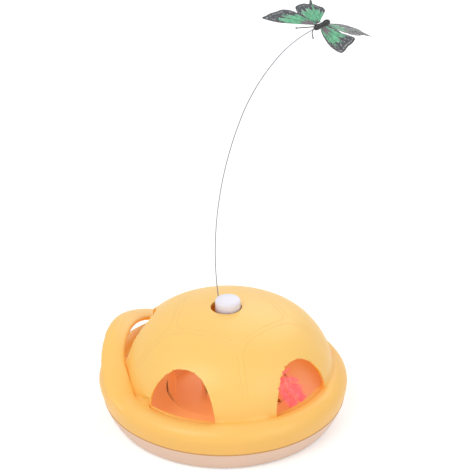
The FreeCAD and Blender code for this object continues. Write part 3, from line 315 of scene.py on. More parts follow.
def scattering(shader, weight, radius):
    """Let light wander under the surface, so far in red, green and blue."""
    shader.inputs["Subsurface Weight"].default_value = weight
    shader.inputs["Subsurface Radius"].default_value = radius
    shader.inputs["Subsurface Scale"].default_value = 1.0


def plastic(name, tint, roughness=0.42, grain=0.0006, tone=0.04, depth=0.5, scatter=0.0, glow=0.0):
    """A moulded plastic of one colour with grain, faint tone change and uneven gloss. A glow
    stands for light that passes through the wall."""
    material, tree, shader = new_material(name)
    surface = moulded(tree, grain, depth, tone, roughness)
    toned = scaled_colour(tree, tint, surface.outputs["Tone"])
    tree.links.new(toned, shader.inputs["Base Color"])
    tree.links.new(surface.outputs["Roughness"], shader.inputs["Roughness"])
    bump(tree, shader, surface.outputs["Height"], 0.00005)
    shader.inputs["IOR"].default_value = 1.46
    if scatter:
        scattering(shader, scatter, (0.004, 0.0015, 0.0006))
    if glow:
        tree.links.new(toned, shader.inputs["Emission Color"])
        shader.inputs["Emission Strength"].default_value = glow
    return material


def metal(name, tint, roughness=0.3, streak=900.0):
    """A drawn or pressed metal with fine streaks in its gloss."""
    material, tree, shader = new_material(name)
    grain = noise(tree, object_position(tree)[0], streak, 3.0, 0.6)
    shader.inputs["Base Color"].default_value = (*tint[:3], 1.0)
    shader.inputs["Metallic"].default_value = 1.0
    gloss = math_node(tree, "MULTIPLY_ADD", grain, 0.25, roughness - 0.12)
    tree.links.new(gloss, shader.inputs["Roughness"])
    bump(tree, shader, grain, 0.00003)
    return material


def dress(material, *names):
    """Give CAD nodes a finish through their own material slots."""
    for name in names:
        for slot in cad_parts[name].material_slots:
            slot.material = material


def placed(name, data):
    """A new object of the scene."""
    piece = bpy.data.objects.new(name, data)
    bpy.context.scene.collection.objects.link(piece)
    return piece


def mesh_of(name, build):
    """A mesh of what was built, with the builder freed."""
    mesh = bpy.data.meshes.new(name)
    build.to_mesh(mesh)
    build.free()
    return mesh


def set_inputs(modifier, **values):
    """Set a Geometry Nodes modifier's inputs by their sockets' identifiers."""
    for item in modifier.node_group.interface.items_tree:
        if item.item_type == "SOCKET" and item.in_out == "INPUT" and item.name in values:
            modifier[item.identifier] = values[item.name]


def baked(source, name):
    """A plain mesh object of what an object's modifiers make, with the source removed."""
    bpy.context.view_layer.update()
    graph = bpy.context.evaluated_depsgraph_get()
    mesh = bpy.data.meshes.new_from_object(source.evaluated_get(graph))
    mesh.name = name
    piece = placed(name, mesh)
    bpy.data.objects.remove(source)
    return piece


# the shell, the tray and the inside

SIDES = 5
LINE_FADE = 12.0
SHADE_TOP = 85.0
SHADE_FOOT = 20.0


def turtle_lines(tree, look):
    """Mask of the thin lines round the shell's plates, and the height of the place: one plate with
    five rounded corners round the crown, and one down the dome from each of its sides."""
    calc = partial(math_node, tree)
    x, y, z = object_position(tree)[1]
    reach = calc("SQRT", calc("ADD", calc("MULTIPLY", x, x), calc("MULTIPLY", y, y)))
    step = 2.0 * math.pi / SIDES
    to_corner = calc("PINGPONG", calc("ARCTAN2", y, x), step / 2.0)
    to_side = calc("SUBTRACT", step / 2.0, to_corner)
    across_corner = calc("MULTIPLY", reach, calc("SINE", to_corner))
    across_side = calc("MULTIPLY", reach, calc("SINE", to_side))
    outward = calc("MULTIPLY", reach, calc("COSINE", to_side))
    side_distance = look.corner_radius * math.cos(step / 2.0)
    rounding = look.corner_round

    def line(first, second):
        """The line along a rounded corner, from how far a place lies past its two sides."""
        squares = [calc("POWER", calc("MAXIMUM", part, 0.0), 2.0) for part in (first, second)]
        off = calc("SUBTRACT", calc("SQRT", calc("ADD", *squares)), rounding)
        return smooth_mask(tree, calc("ABSOLUTE", off), look.line_width, 0.0)

    inner = side_distance - look.line_gap - rounding
    past_corner = calc("SUBTRACT", across_side, inner * math.tan(step / 2.0))
    crown = line(calc("SUBTRACT", outward, inner), past_corner)
    from_side = calc("SUBTRACT", side_distance + look.line_gap + rounding, outward)
    from_corner = calc("SUBTRACT", look.line_gap + rounding, across_corner)
    flank = line(from_side, from_corner)
    above = smooth_mask(tree, z, look.line_foot, look.line_foot + LINE_FADE * MM)
    return calc("MULTIPLY", calc("MAXIMUM", crown, flank), above), z


def shell_material(look):
    """Yellow-orange plastic with sunk double lines outside, darkened with painted shade, and warm with the
    light
    that comes through the thin wall inside: a glow, and a deeper orange of painted shade and bounced light."""
    material, tree, shader = new_material("shell plastic")
    calc = partial(math_node, tree)
    surface = moulded(tree, look.grain, 0.4, 0.03, 0.38)
    mask, height = turtle_lines(tree, look)
    side = tree.nodes.new("ShaderNodeAttribute")
    side.attribute_name = "inside"
    inside_shade_glow = smooth_mask(tree, side.outputs["Fac"], 0.35, 0.65)
    mask = calc("MULTIPLY", mask, calc("SUBTRACT", 1.0, inside_shade_glow))
    low = smooth_mask(tree, height, SHADE_TOP * MM, SHADE_FOOT * MM)
    deep = tuple(part * factor for part, factor in zip(look.shell, (0.97, 0.86, 0.72)))
    tint = mix_colour(tree, calc("MULTIPLY", low, 0.75), look.shell, deep)
    # painted shade: the sunk lines are darkened in colour, standing for the shade in their grooves
    groove_shade = tuple(part * factor for part, factor in zip(look.shell, (0.96, 0.84, 0.66)))
    tint = mix_colour(tree, calc("MULTIPLY", mask, 0.3), tint, groove_shade)
    # painted shade and bounced light: faces marked inside take the deeper inside orange
    tint = mix_colour(tree, inside_shade_glow, tint, look.inside)
    toned = scaled_colour(tree, tint, surface.outputs["Tone"])
    tree.links.new(toned, shader.inputs["Base Color"])
    tree.links.new(surface.outputs["Roughness"], shader.inputs["Roughness"])
    scattering(shader, 0.12, (0.006, 0.003, 0.001))
    shader.inputs["Emission Color"].default_value = (*look.through, 1.0)
    tree.links.new(calc("MULTIPLY", inside_shade_glow, look.glow), shader.inputs["Emission Strength"])
    sunk = calc("SUBTRACT", surface.outputs["Height"], calc("MULTIPLY", mask, 3.5))
    bump(tree, shader, sunk, 0.00006)
    return material


# places on the shell, in millimetres and degrees round the dome's own axis: a pair says where a
# smooth step begins and where it ends
WINDOW_ANGLES = (-108.0, -36.0, 36.0, 108.0)
RIM_SHIFT = 3.6
CREASE_RADIUS = 91.3
CREASE_HEIGHT = 39.7
CREASE_BLEND = (4.0, 15.0)
SILL_SIDE = (20.5, 25.0)
HANDLE_ANGLE = 173.2
HANDLE_INNER = 92.5
HANDLE_LOW = 41.0
VALLEY_SIDE = (44.0, 60.0)
VALLEY_HEIGHT = 50.0
VALLEY_RISE = (12.0, 24.0)
VALLEY_RADIUS = 90.0
VALLEY_DEPTH = (0.0, 14.0)

# the search for the wall outside of a place, as seen from the middle below, tells its inner side
WALL_SEARCH = 6.0
SEARCH_LIFT = 0.4
LOOK_FROM = Vector((-RIM_SHIFT * MM, 0.0, -60.0 * MM))

# the softened skin
GRID_DEPTH = 8
SPIKE = 0.8
SHARP_ANGLE = 38.0


def dome_place(spot):
    """A place of the shell as its angle and distance round the dome's axis, and its height."""
    x, y, z = (part / MM for part in spot)
    return math.degrees(math.atan2(y, x + RIM_SHIFT)), math.hypot(x + RIM_SHIFT, y), z


def apart(first, second):
    """Angle between two directions, without sign."""
    return abs((first - second + 180.0) % 360.0 - 180.0)


def step_down(value, full, none):
    """1 up to full, 0 from none on, with a smooth step between."""
    share = min(1.0, max(0.0, (value - full) / (none - full)))
    return 1.0 - share * share * (3.0 - 2.0 * share)


def softness(angle, reach, z):
    """How much the moulded blend smooths a place: the crease between dome and rim, but not the
    window sills, and the valley between the handle and the dome."""
    crease = step_down(math.hypot(reach - CREASE_RADIUS, z - CREASE_HEIGHT), *CREASE_BLEND)
    for window in WINDOW_ANGLES:
        crease *= 1.0 - step_down(apart(angle, window), *SILL_SIDE)
    valley = step_down(apart(angle, HANDLE_ANGLE), *VALLEY_SIDE)
    valley *= step_down(abs(z - VALLEY_HEIGHT), *VALLEY_RISE)
    valley *= step_down(VALLEY_RADIUS - reach, *VALLEY_DEPTH)
    return max(crease, valley)


def inner_side(tree, spot, normal):
    """Whether a face of the shell looks inward: the wall itself lies close outside of it."""
    reach = math.hypot(spot.x + RIM_SHIFT * MM, spot.y)
    if reach > HANDLE_INNER * MM and spot.z > HANDLE_LOW * MM:
        return 0.0
    outward = (spot - LOOK_FROM).normalized()
    if normal.dot(outward) > 0.0:
        return 0.0
    found = tree.ray_cast(spot + normal * (SEARCH_LIFT * MM), outward, WALL_SEARCH * MM)
    return 1.0 if found[0] is not None else 0.0


# how the handle is drawn into one arc: outward by so much at each height, and up
HANDLE_SIDE = (42.0, 66.0)
HANDLE_DEPTH = (92.0, 99.0)
HANDLE_RISE = 2.6
RISE_FADE = (60.0, 80.0)
HANDLE_DRAW = (
    (24.0, 0.0), (30.0, 1.2), (36.0, 2.5), (42.0, 3.8), (48.0, 3.5), (54.0, 2.4), (60.0, 1.2), (66.0, -0.4),
    (74.0, -2.4), (84.0, -3.2), (96.0, -2.6),
)

# the closed slot at the handle's foot
SLOT = (90.3, 98.6)
SLOT_FLOOR = 88.8
FOOT_BEGIN = (26.0, 33.0)
FOOT_END = (58.0, 66.0)
FOOT_LOW = (40.4, 42.4)
FOOT_HIGH = (55.0, 62.0)

# the rim's shoulder beside the dome
SHOULDER_RADIUS = 97.0
SHOULDER_WIDTH = (2.0, 9.0)
SHOULDER_LOW = (33.0, 38.0)
SHOULDER_END = (60.0, 75.0)
SHOULDER_SILL = (18.0, 26.0)
SHOULDER_RISE = 1.8


def on_table(table, value):
    """A value read off a table of (place, value) pairs, with straight lines between."""
    if value <= table[0][0]:
        return table[0][1]
    for (low, first), (high, second) in zip(table, table[1:]):
        if value <= high:
            return first + (second - first) * (value - low) / (high - low)
    return table[-1][1]


def drawn(spot, angle, reach, z):
    """Where a place of the moulded shell goes so that the handle grows out of the rim in one arc
    and the rim's shoulder stands up beside the dome between the windows."""
    aside = apart(angle, HANDLE_ANGLE)
    hold = step_down(aside, *HANDLE_SIDE) * (1.0 - step_down(reach, *HANDLE_DEPTH))
    out = on_table(HANDLE_DRAW, z) * hold
    foot = (1.0 - step_down(aside, *FOOT_BEGIN)) * step_down(aside, *FOOT_END)
    foot *= (1.0 - step_down(z, *FOOT_LOW)) * step_down(z, *FOOT_HIGH)
    if SLOT[0] < reach < SLOT[1]:
        out -= (reach - SLOT_FLOOR) * foot
    rise = HANDLE_RISE * (1.0 - step_down(z, *RISE_FADE)) * hold
    shoulder = step_down(abs(reach - SHOULDER_RADIUS), *SHOULDER_WIDTH)
    shoulder *= 1.0 - step_down(z, *SHOULDER_LOW)
    shoulder *= 1.0 - step_down(aside, *SHOULDER_END)
    for window in WINDOW_ANGLES:
        shoulder *= 1.0 - step_down(apart(angle, window), *SHOULDER_SILL)
    radial = Vector(((spot.x / MM + RIM_SHIFT) / reach, spot.y / MM / reach, 0.0))
    return spot + radial * (out * MM) + Vector((0.0, 0.0, (rise + SHOULDER_RISE * shoulder) * MM))


def without_spikes(mesh, far):
    """Set stray points of a remeshed surface back among their neighbours."""
    build = bmesh.new()
    build.from_mesh(mesh)
    for vertex in build.verts:
        others = [edge.other_vert(vertex).co for edge in vertex.link_edges]
        middle = sum(others, Vector()) / len(others)
        if (vertex.co - middle).length > far:
            vertex.co = middle
    build.to_mesh(mesh)
    build.free()


def softened_shell(look):
    """The shell's own form with its creases blended as a mould leaves them."""
    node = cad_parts["top_shell"]
    build = bmesh.new()
    build.from_mesh(node.data)
    bmesh.ops.remove_doubles(build, verts=build.verts, dist=0.000001)
    source = placed("shell_source", mesh_of("shell_source", build))
    grid = source.modifiers.new("grid", "REMESH")
    grid.mode = "SHARP"
    grid.octree_depth = GRID_DEPTH
    grid.scale = look.skin_scale
    grid.use_remove_disconnected = False
    grid.use_smooth_shade = True
    seat = source.modifiers.new("seat", "SHRINKWRAP")
    seat.target = node
    seat.wrap_method = "NEAREST_SURFACEPOINT"
    piece = baked(source, "shell_skin")
    without_spikes(piece.data, SPIKE * MM)
    blend = piece.vertex_groups.new(name="blend")
    for vertex in piece.data.vertices:
        place = dome_place(vertex.co)
        weight = softness(*place)
        vertex.co = drawn(vertex.co, *place)
        if weight > 0.01:
            blend.add([vertex.index], weight, "REPLACE")
    soft = piece.modifiers.new("blend", "SMOOTH")
    soft.factor = 0.5
    soft.iterations = look.blend_steps
    soft.vertex_group = "blend"
    triangles = sum(len(face.vertices) - 2 for face in piece.data.polygons)
    fewer = piece.modifiers.new("fewer", "DECIMATE")
    fewer.ratio = min(1.0, look.skin_triangles / triangles)
    piece = baked(piece, "shell_skin")
    piece.data.set_sharp_from_angle(angle=math.radians(SHARP_ANGLE))
    build = bmesh.new()
    build.from_mesh(piece.data)
    tree = BVHTree.FromBMesh(build)
    build.free()
    # the inside mark picks the faces that get the painted inside shade and the glow
    side = piece.data.attributes.new("inside", "FLOAT", "FACE")
    for face, entry in zip(piece.data.polygons, side.data):
        entry.value = inner_side(tree, face.center, face.normal)
    return piece


class CATTOY_OT_shell(bpy.types.Operator):
    """Finish the dome, rim and handle, the seam ring, the tray and its feet"""
    bl_idname = "cattoy.shell"
    bl_label = "Shell and Tray"

    def execute(self, context):
        look = context.scene.cattoy_shell
        skin = softened_shell(look)
        skin.data.materials.append(shell_material(look))
        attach(skin, "base")
        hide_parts("top_shell")
        dress(plastic("tray plastic", look.base, 0.5, 0.0008, 0.05), "base_tray", "battery_door")
        # painted shadow: the brown seam ring stands for the shadow in the gap between shell and tray
        dress(plastic("seam plastic", look.seam, 0.6), "seam_ring")
        feet = ("rubber_foot_1", "rubber_foot_2", "rubber_foot_3", "rubber_foot_4")
        dress(plastic("foot rubber", linear(70, 70, 72), 0.8, 0.0004, 0.15), *feet)
        return {"FINISHED"}


class CATTOY_OT_drum(bpy.types.Operator):
    """Finish the deck, the drum, its column and the feather's clip"""
    bl_idname = "cattoy.drum"
    bl_label = "Deck and Drum"

    def execute(self, context):
        look = context.scene.cattoy_shell
        inside = plastic("inside plastic", look.drum, 0.42, 0.0006, 0.05, 0.5, 0.1, look.glow * 0.6)
        dress(inside, "inner_deck", "rotor_drum", "drive_post")
        # painted shade: the clip's colour is the painted inside shade, darkened to 0.55
        clip = tuple(part * 0.55 for part in look.inside)
        dress(plastic("clip plastic", clip, 0.4), "feather_clip")
        return {"FINISHED"}


def turned(name, profile, count=96):
    """A ring or disc turned round +Z from (radius, height) points in millimetres, top last."""
    build = bmesh.new()
    angles = [2.0 * math.pi * index / count for index in range(count)]
    rings = []
    for radius, height in profile:
        if radius == 0.0:
            rings.append([build.verts.new((0.0, 0.0, height * MM))])
            continue
        ring = [(radius * MM * math.cos(a), radius * MM * math.sin(a), height * MM) for a in angles]
        rings.append([build.verts.new(spot) for spot in ring])
    for low, high in zip(rings, rings[1:]):
        for index in range(count):
            following = (index + 1) % count
            if len(low) == 1:
                corners = (low[0], high[following], high[index])
            elif len(high) == 1:
                corners = (low[index], low[following], high[0])
            else:
                corners = (low[index], low[following], high[following], high[index])
            build.faces.new(corners).smooth = True
    bmesh.ops.recalc_face_normals(build, faces=build.faces)
    return placed(name, mesh_of(name, build))


CAP_PROFILE = (
    (0.0, 97.5), (10.2, 97.5), (11.2, 98.4), (11.2, 107.2), (11.0, 108.3), (10.4, 109.2), (9.4, 109.6),
    (6.0, 109.85), (3.0, 109.95), (0.0, 110.0),
)
# painted shade: this ring with a floor under the crown hole stands for the shade in the gap round the cap
COLLAR_PROFILE = (
    (13.95, 100.2), (13.95, 90.0), (13.2, 89.6), (7.2, 89.6), (7.2, 88.8), (14.8, 88.8), (14.8, 98.8),
)
COLLAR_SHIFT = -1.5


class CATTOY_OT_cap(bpy.types.Operator):
    """Turn the white cap and the shade collar under the crown hole, a deep orange of painted shade, and
    finish the steel wire
    """
    bl_idname = "cattoy.cap"
    bl_label = "Cap and Wire"

    def execute(self, context):
        look = context.scene.cattoy_shell
        cap = turned("crown_cap", CAP_PROFILE)
        cap.data.materials.append(plastic("cap plastic", look.cap, 0.34, 0.0005, 0.02))
        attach(cap, "rotor")
        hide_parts("top_cap")
        shade_collar = turned("crown_collar", COLLAR_PROFILE)
        shade_collar.data.transform(Matrix.Translation((COLLAR_SHIFT * MM, 0.0, 0.0)))
        shade_collar.data.materials.append(plastic("collar plastic", look.shade_collar, 0.45, 0.0006, 0.04))
        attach(shade_collar, "base")
        dress(metal("spring steel", linear(150, 150, 156), 0.35, 2500.0), "spring_wire")
        return {"FINISHED"}


class CATTOY_OT_works(bpy.types.Operator):
    """Finish the motor, gears, cells, board, switch and screws"""
    bl_idname = "cattoy.works"
    bl_label = "Works"

    def execute(self, context):
        gears = ("motor_pinion", "compound_gear_1", "compound_gear_2", "ring_gear", "rotor_bush")
        dress(plastic("gear nylon", linear(238, 236, 226), 0.35, 0.0005, 0.04, 0.3, 0.1), *gears)
        dress(plastic("frame plastic", linear(198, 198, 196), 0.5), "motor_plate", "motor_cover")
        dress(metal("motor can", linear(190, 192, 196), 0.28), "motor")
        pins = ("pivot_pin", "gear_pin_1", "gear_pin_2", "shell_screws", "plate_screws")
        dress(metal("plain steel", linear(176, 176, 180), 0.3), *pins)
        parts = ("battery_contact_", "battery_spring_plate_", "battery_spring_")
        contacts = [part + side for part in parts for side in ("1", "2")]
        dress(metal("plated contact", linear(206, 200, 176), 0.32), *contacts)
        cells = ("battery_cell_1", "battery_cell_2")
        dress(plastic("cell jacket", linear(64, 70, 80), 0.25, 0.001, 0.08), *cells)
        dress(plastic("board resin", linear(38, 96, 58), 0.35, 0.0004, 0.12), "circuit_board")
        dress(plastic("switch black", linear(34, 34, 36), 0.38), "power_switch", "switch_knob")
        return {"FINISHED"}


# the feather

STEM_STEPS = 6
STRANDS = 26


def barb_mesh(look, generator):
    """One barb of unit length along +Z: a bowed stem with fine strands down both sides."""
    build = bmesh.new()
    stem_radius = look.barb_radius / look.barb_length
    fluff = look.fluff_length / look.barb_length

    def rod(points, radius):
        """A three-sided rod through the points that narrows to its end."""
        rings = []
        for index, point in enumerate(points):
            share = index / (len(points) - 1)
            size = radius * (1.0 - 0.75 * share)
            ahead = points[min(index + 1, len(points) - 1)] - points[max(index - 1, 0)]
            side = ahead.cross(Vector((0.3, 1.0, 0.2))).normalized()
            other = ahead.cross(side).normalized()
            ring = []
            for corner in range(3):
                turn = 2.0 * math.pi * corner / 3.0
                spot = point + side * (size * math.cos(turn)) + other * (size * math.sin(turn))
                ring.append(build.verts.new(spot))
            rings.append(ring)
        for low, high in zip(rings, rings[1:]):
            for corner in range(3):
                following = (corner + 1) % 3
                build.faces.new((low[corner], low[following], high[following], high[corner]))

    def along(share):
        """A place on the bowed stem."""
        return Vector((0.10 * share * share, 0.05 * math.sin(share * 5.0), share))

    rod([along(step / STEM_STEPS) for step in range(STEM_STEPS + 1)], stem_radius)
    for index in range(STRANDS):
        share = 0.06 + 0.92 * index / STRANDS
        start = along(share)
        for side in (-1.0, 1.0):
            fullness = math.sin(math.pi * min(1.0, 0.25 + 0.75 * (1.0 - share * 0.6)))
            reach = fluff * (0.5 + 0.5 * generator.random()) * fullness
            lift = reach * (0.5 + 0.4 * generator.random())
            sway = reach * (generator.random() - 0.5) * 0.9
            middle = start + Vector((side * reach * 0.55, sway * 0.4, lift * 0.35))
            tip = start + Vector((side * reach, sway, lift))
            rod([start, middle, tip], stem_radius * 0.42)
    return mesh_of("barb", build)


def feather_tree(barb, material, look):
    """Geometry Nodes: barbs along the quill's line on both sides, fanned, uneven and realized."""
    tree = bpy.data.node_groups.new("feather barbs", "GeometryNodeTree")
    tree.interface.new_socket("Geometry", in_out="INPUT", socket_type="NodeSocketGeometry")
    wanted = (
        ("Count", "NodeSocketInt", look.barbs),
        ("Length", "NodeSocketFloat", look.barb_length),
        ("Seed", "NodeSocketInt", look.seed),
        ("Side", "NodeSocketFloat", 1.0),
    )
    for label, kind, default in wanted:
        socket = tree.interface.new_socket(label, in_out="INPUT", socket_type=kind)
        socket.default_value = default
    tree.interface.new_socket("Geometry", in_out="OUTPUT", socket_type="NodeSocketGeometry")
    entry = tree.nodes.new("NodeGroupInput")
    leave = tree.nodes.new("NodeGroupOutput")
    calc = partial(math_node, tree)

    def add(kind, **inputs):
        """A node with its named inputs fed."""
        node = tree.nodes.new(kind)
        for label, value in inputs.items():
            feed(tree, node.inputs[label], value)
        return node

    def vector(operation, first, second=None, scale=None):
        """One vector step. A node shows its Scale only once its operation is set."""
        node = tree.nodes.new("ShaderNodeVectorMath")
        node.operation = operation
        feed(tree, node.inputs[0], first)
        if second is not None:
            feed(tree, node.inputs[1], second)
        if scale is not None:
            feed(tree, node.inputs["Scale"], scale)
        return node.outputs[0]

    def random_value(low, high, offset):
        """A random number for each barb, drawn from its own part of the seed."""
        node = add("FunctionNodeRandomValue", Seed=calc("ADD", entry.outputs["Seed"], offset))
        node.data_type = "FLOAT"
        node.inputs[2].default_value = low
        node.inputs[3].default_value = high
        return node.outputs[1]

    to_curve = add("GeometryNodeMeshToCurve", Mesh=entry.outputs["Geometry"])
    line = add("GeometryNodeResampleCurve", Curve=to_curve.outputs["Curve"], Count=entry.outputs["Count"])
    share = tree.nodes.new("GeometryNodeSplineParameter").outputs["Factor"]
    tangent = tree.nodes.new("GeometryNodeInputTangent").outputs[0]
    named = add("GeometryNodeInputNamedAttribute", Name="facing")
    named.data_type = "FLOAT_VECTOR"
    facing = named.outputs["Attribute"]
    side_way = vector("NORMALIZE", vector("CROSS_PRODUCT", facing, tangent))
    side_way = vector("SCALE", side_way, scale=entry.outputs["Side"])
    lean = calc("ADD", 0.35, calc("MULTIPLY", share, 1.0))
    ahead = vector("SCALE", tangent, scale=calc("ADD", lean, random_value(-0.25, 0.25, 3)))
    lift = vector("SCALE", facing, scale=random_value(-0.25, 0.45, 5))
    way = vector("ADD", vector("ADD", side_way, ahead), lift)
    align = add("FunctionNodeAlignRotationToVector", Vector=way)
    align.axis = "Z"
    arc = calc("SINE", calc("MULTIPLY", calc("ADD", calc("MULTIPLY", share, 0.74), 0.16), math.pi))
    size = calc("MULTIPLY", calc("POWER", arc, 0.6), entry.outputs["Length"])
    size = calc("MULTIPLY", size, random_value(0.72, 1.05, 9))
    scale = add("ShaderNodeCombineXYZ", X=size, Y=size, Z=size)
    held = add("GeometryNodeObjectInfo", Object=barb)
    instance = add(
        "GeometryNodeInstanceOnPoints",
        Points=line.outputs["Curve"], Instance=held.outputs["Geometry"],
        Rotation=align.outputs["Rotation"], Scale=scale.outputs[0],
    )
    realize = add("GeometryNodeRealizeInstances", Geometry=instance.outputs["Instances"])
    finish = add("GeometryNodeSetMaterial", Geometry=realize.outputs["Geometry"], Material=material)
    tree.links.new(finish.outputs["Geometry"], leave.inputs["Geometry"])
    return tree


# the plume's middle line in millimetres: distance from the turning axis, and height
PLUME_LINE = ((50.0, 45.4), (53.5, 45.0), (57.0, 41.4), (60.5, 37.2), (65.0, 31.6), (69.5, 26.8))


def feather_line():
    """Middle line of the plume, from the quill's crest outward and down, with its facing side."""
    quill_low, quill_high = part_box("feather_quill")
    middle = (quill_low + quill_high) / 2
    away = Vector((middle.x, middle.y, 0.0)).normalized()
    spots = [away * (out * MM) + Vector((0.0, 0.0, height * MM)) for out, height in PLUME_LINE]
    turn = math.radians(CAMERA_TURN - 90.0)
    rise = math.radians(CAMERA_DOWN)
    facing = Vector((math.cos(turn) * math.cos(rise), math.sin(turn) * math.cos(rise), math.sin(rise)))
    return spots, facing


def down_material(look):
    """Soft down: blotched pink with sheen, lit through."""
    material, tree, shader = new_material("down")
    blotch = noise(tree, object_position(tree)[0], 220.0, 2.0)
    tint = mix_colour(tree, smooth_mask(tree, blotch, 0.35, 0.75), look.shade, look.down)
    tree.links.new(tint, shader.inputs["Base Color"])
    tree.links.new(tint, shader.inputs["Emission Color"])
    shader.inputs["Emission Strength"].default_value = look.lightness
    shader.inputs["Roughness"].default_value = 0.9
    shader.inputs["Sheen Weight"].default_value = 0.4
    shader.inputs["Sheen Roughness"].default_value = 0.5
    scattering(shader, 0.25, (0.003, 0.001, 0.001))
    return material


class CATTOY_OT_feather(bpy.types.Operator):
    """Grow the down feather's barbs along its quill"""
    bl_idname = "cattoy.feather"
    bl_label = "Feather"

    def execute(self, context):
        look = context.scene.cattoy_feather
        generator = random.Random(look.seed)
        material = down_material(look)
        barb = bpy.data.objects.new("barb_source", barb_mesh(look, generator))
        spots, facing = feather_line()
        halves = []
        for name, side, seed in (("near", 1.0, 0), ("far", -1.0, 40)):
            mesh = bpy.data.meshes.new("quill_line_" + name)
            edges = [(n, n + 1) for n in range(len(spots) - 1)]
            mesh.from_pydata([tuple(spot) for spot in spots], edges, [])
            attribute = mesh.attributes.new("facing", "FLOAT_VECTOR", "POINT")
            for entry in attribute.data:
                entry.vector = facing
            source = placed("quill_line_" + name, mesh)
            modifier = source.modifiers.new("barbs", "NODES")
            modifier.node_group = feather_tree(barb, material, look)
            set_inputs(modifier, Side=side, Seed=look.seed + seed)
            halves.append(baked(source, "feather_down_" + name))
        bpy.data.objects.remove(barb)
        for half in halves:
            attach(half, "rotor")
        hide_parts("feather_plume")
        dress(plastic("quill horn", linear(250, 176, 190), 0.45, glow=0.35), "feather_quill")
        return {"FINISHED"}


# the butterfly, in its own upright plane: points are millimetres across and up from the body's middle

FORE_LEFT = {
    "root": (-5.4, -0.3),
    "outline": ((-4.7, 1.1), (-12.5, 4.9), (-18.7, 7.8), (-21.2, 8.9), (-23.7, 10.1), (-27.4, 11.3),
                (-32.4, 11.4), (-38.0, 10.0), (-44.8, 7.1), (-49.8, 4.5), (-43.6, 2.3), (-36.7, 0.9),
                (-28.0, 0.4), (-18.7, -0.1), (-10.0, -0.4), (-6.3, -1.1)),
}
HIND_LEFT = {
    "root": (-3.2, 1.1),
    "outline": ((-6.3, -0.1), (-12.5, 1.7), (-17.5, 5.0), (-20.8, 9.0), (-22.3, 12.1), (-22.1, 14.1),
                (-19.6, 15.9), (-15.6, 16.6), (-11.8, 16.6), (-11.1, 19.8), (-10.6, 21.0), (-9.9, 19.8),
                (-9.6, 16.6), (-6.3, 15.8), (-2.6, 14.5), (-0.4, 13.7), (1.7, 11.2), (-2.1, 9.9),
                (-3.2, 7.5), (-2.8, 4.3), (-1.8, 2.1)),
}
FORE_RIGHT = {
    "root": (-0.7, -1.9),
    "outline": ((-2.0, -3.1), (-0.4, -8.2), (3.1, -15.0), (7.4, -20.9), (12.3, -24.8), (16.4, -27.1),
                (18.6, -25.4), (23.3, -19.8), (27.5, -14.7), (24.2, -11.8), (20.3, -10.5), (17.6, -9.9),
                (12.6, -6.0), (5.6, -1.9), (2.1, -0.4)),
}
HIND_RIGHT = {
    "root": (2.1, -0.4),
    "outline": ((2.8, 0.8), (8.4, 0.0), (14.1, -0.5), (19.6, -1.9), (25.3, -4.1), (30.6, -6.5),
                (35.1, -9.7), (38.6, -11.6), (41.9, -13.2), (37.9, -12.3), (34.4, -11.3), (30.9, -11.8),
                (27.4, -11.3), (23.9, -10.5), (19.6, -8.8), (12.6, -6.0), (3.5, -1.6)),
}
FORE_BACK = 0.55
HIND_BACK = 1.15
SCALLOPS = 9.0
SCALLOP_DEPTH = 0.02
RIPPLE = 0.18

# the line through the body about which the left and right wings tilt, and how far they do
FOLD_LINE = ((-4.6, -2.4), (4.0, 2.4))
FOLD_BACK = 0.3
DIHEDRAL = 10.0


def plane_frame():
    """The middle of the body, and the butterfly plane's own sideways and backward directions."""
    low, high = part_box("butterfly_body")
    turn = math.radians(CAMERA_TURN)
    side = Vector((math.cos(turn), math.sin(turn), 0.0))
    behind = Vector((-math.sin(turn), math.cos(turn), 0.0))
    return (low + high) / 2.0, side, behind


MIDDLE, SIDEWAYS, BEHIND = plane_frame()


def plane_point(across, up, back):
    """A point of the butterfly's plane, in metres. across and up count from the body's middle."""
    return MIDDLE + SIDEWAYS * (across * MM) + Vector((0.0, 0.0, up * MM)) + BEHIND * (back * MM)


CURVE_STEPS = 8


def rounded(points, count):
    """So many points evenly along the closed, gently smoothed line through the given points."""
    spots = [Vector((x, y)) for x, y in points]
    total = len(spots)
    fine = []
    for index in range(total - 1):
        before = spots[max(index - 1, 0)]
        here, there = spots[index], spots[index + 1]
        after = spots[min(index + 2, total - 1)]
        for part in range(CURVE_STEPS):
            share = part / CURVE_STEPS
            square, cube = share * share, share ** 3
            spot = 0.5 * ((2.0 * here) + (there - before) * share
                          + (2.0 * before - 5.0 * here + 4.0 * there - after) * square
                          + (3.0 * here - before - 3.0 * there + after) * cube)
            fine.append(spot)
    fine.append(spots[-1])
    gaps = [(b - a).length for a, b in zip(fine, fine[1:])]
    whole = sum(gaps)
    result = []
    reached, index = 0.0, 0
    for step in range(count):
        wanted = whole * step / (count - 1)
        while index < len(gaps) - 1 and reached + gaps[index] < wanted:
            reached += gaps[index]
            index += 1
        share = (wanted - reached) / gaps[index] if gaps[index] else 0.0
        result.append(fine[index].lerp(fine[index + 1], min(share, 1.0)))
    return result


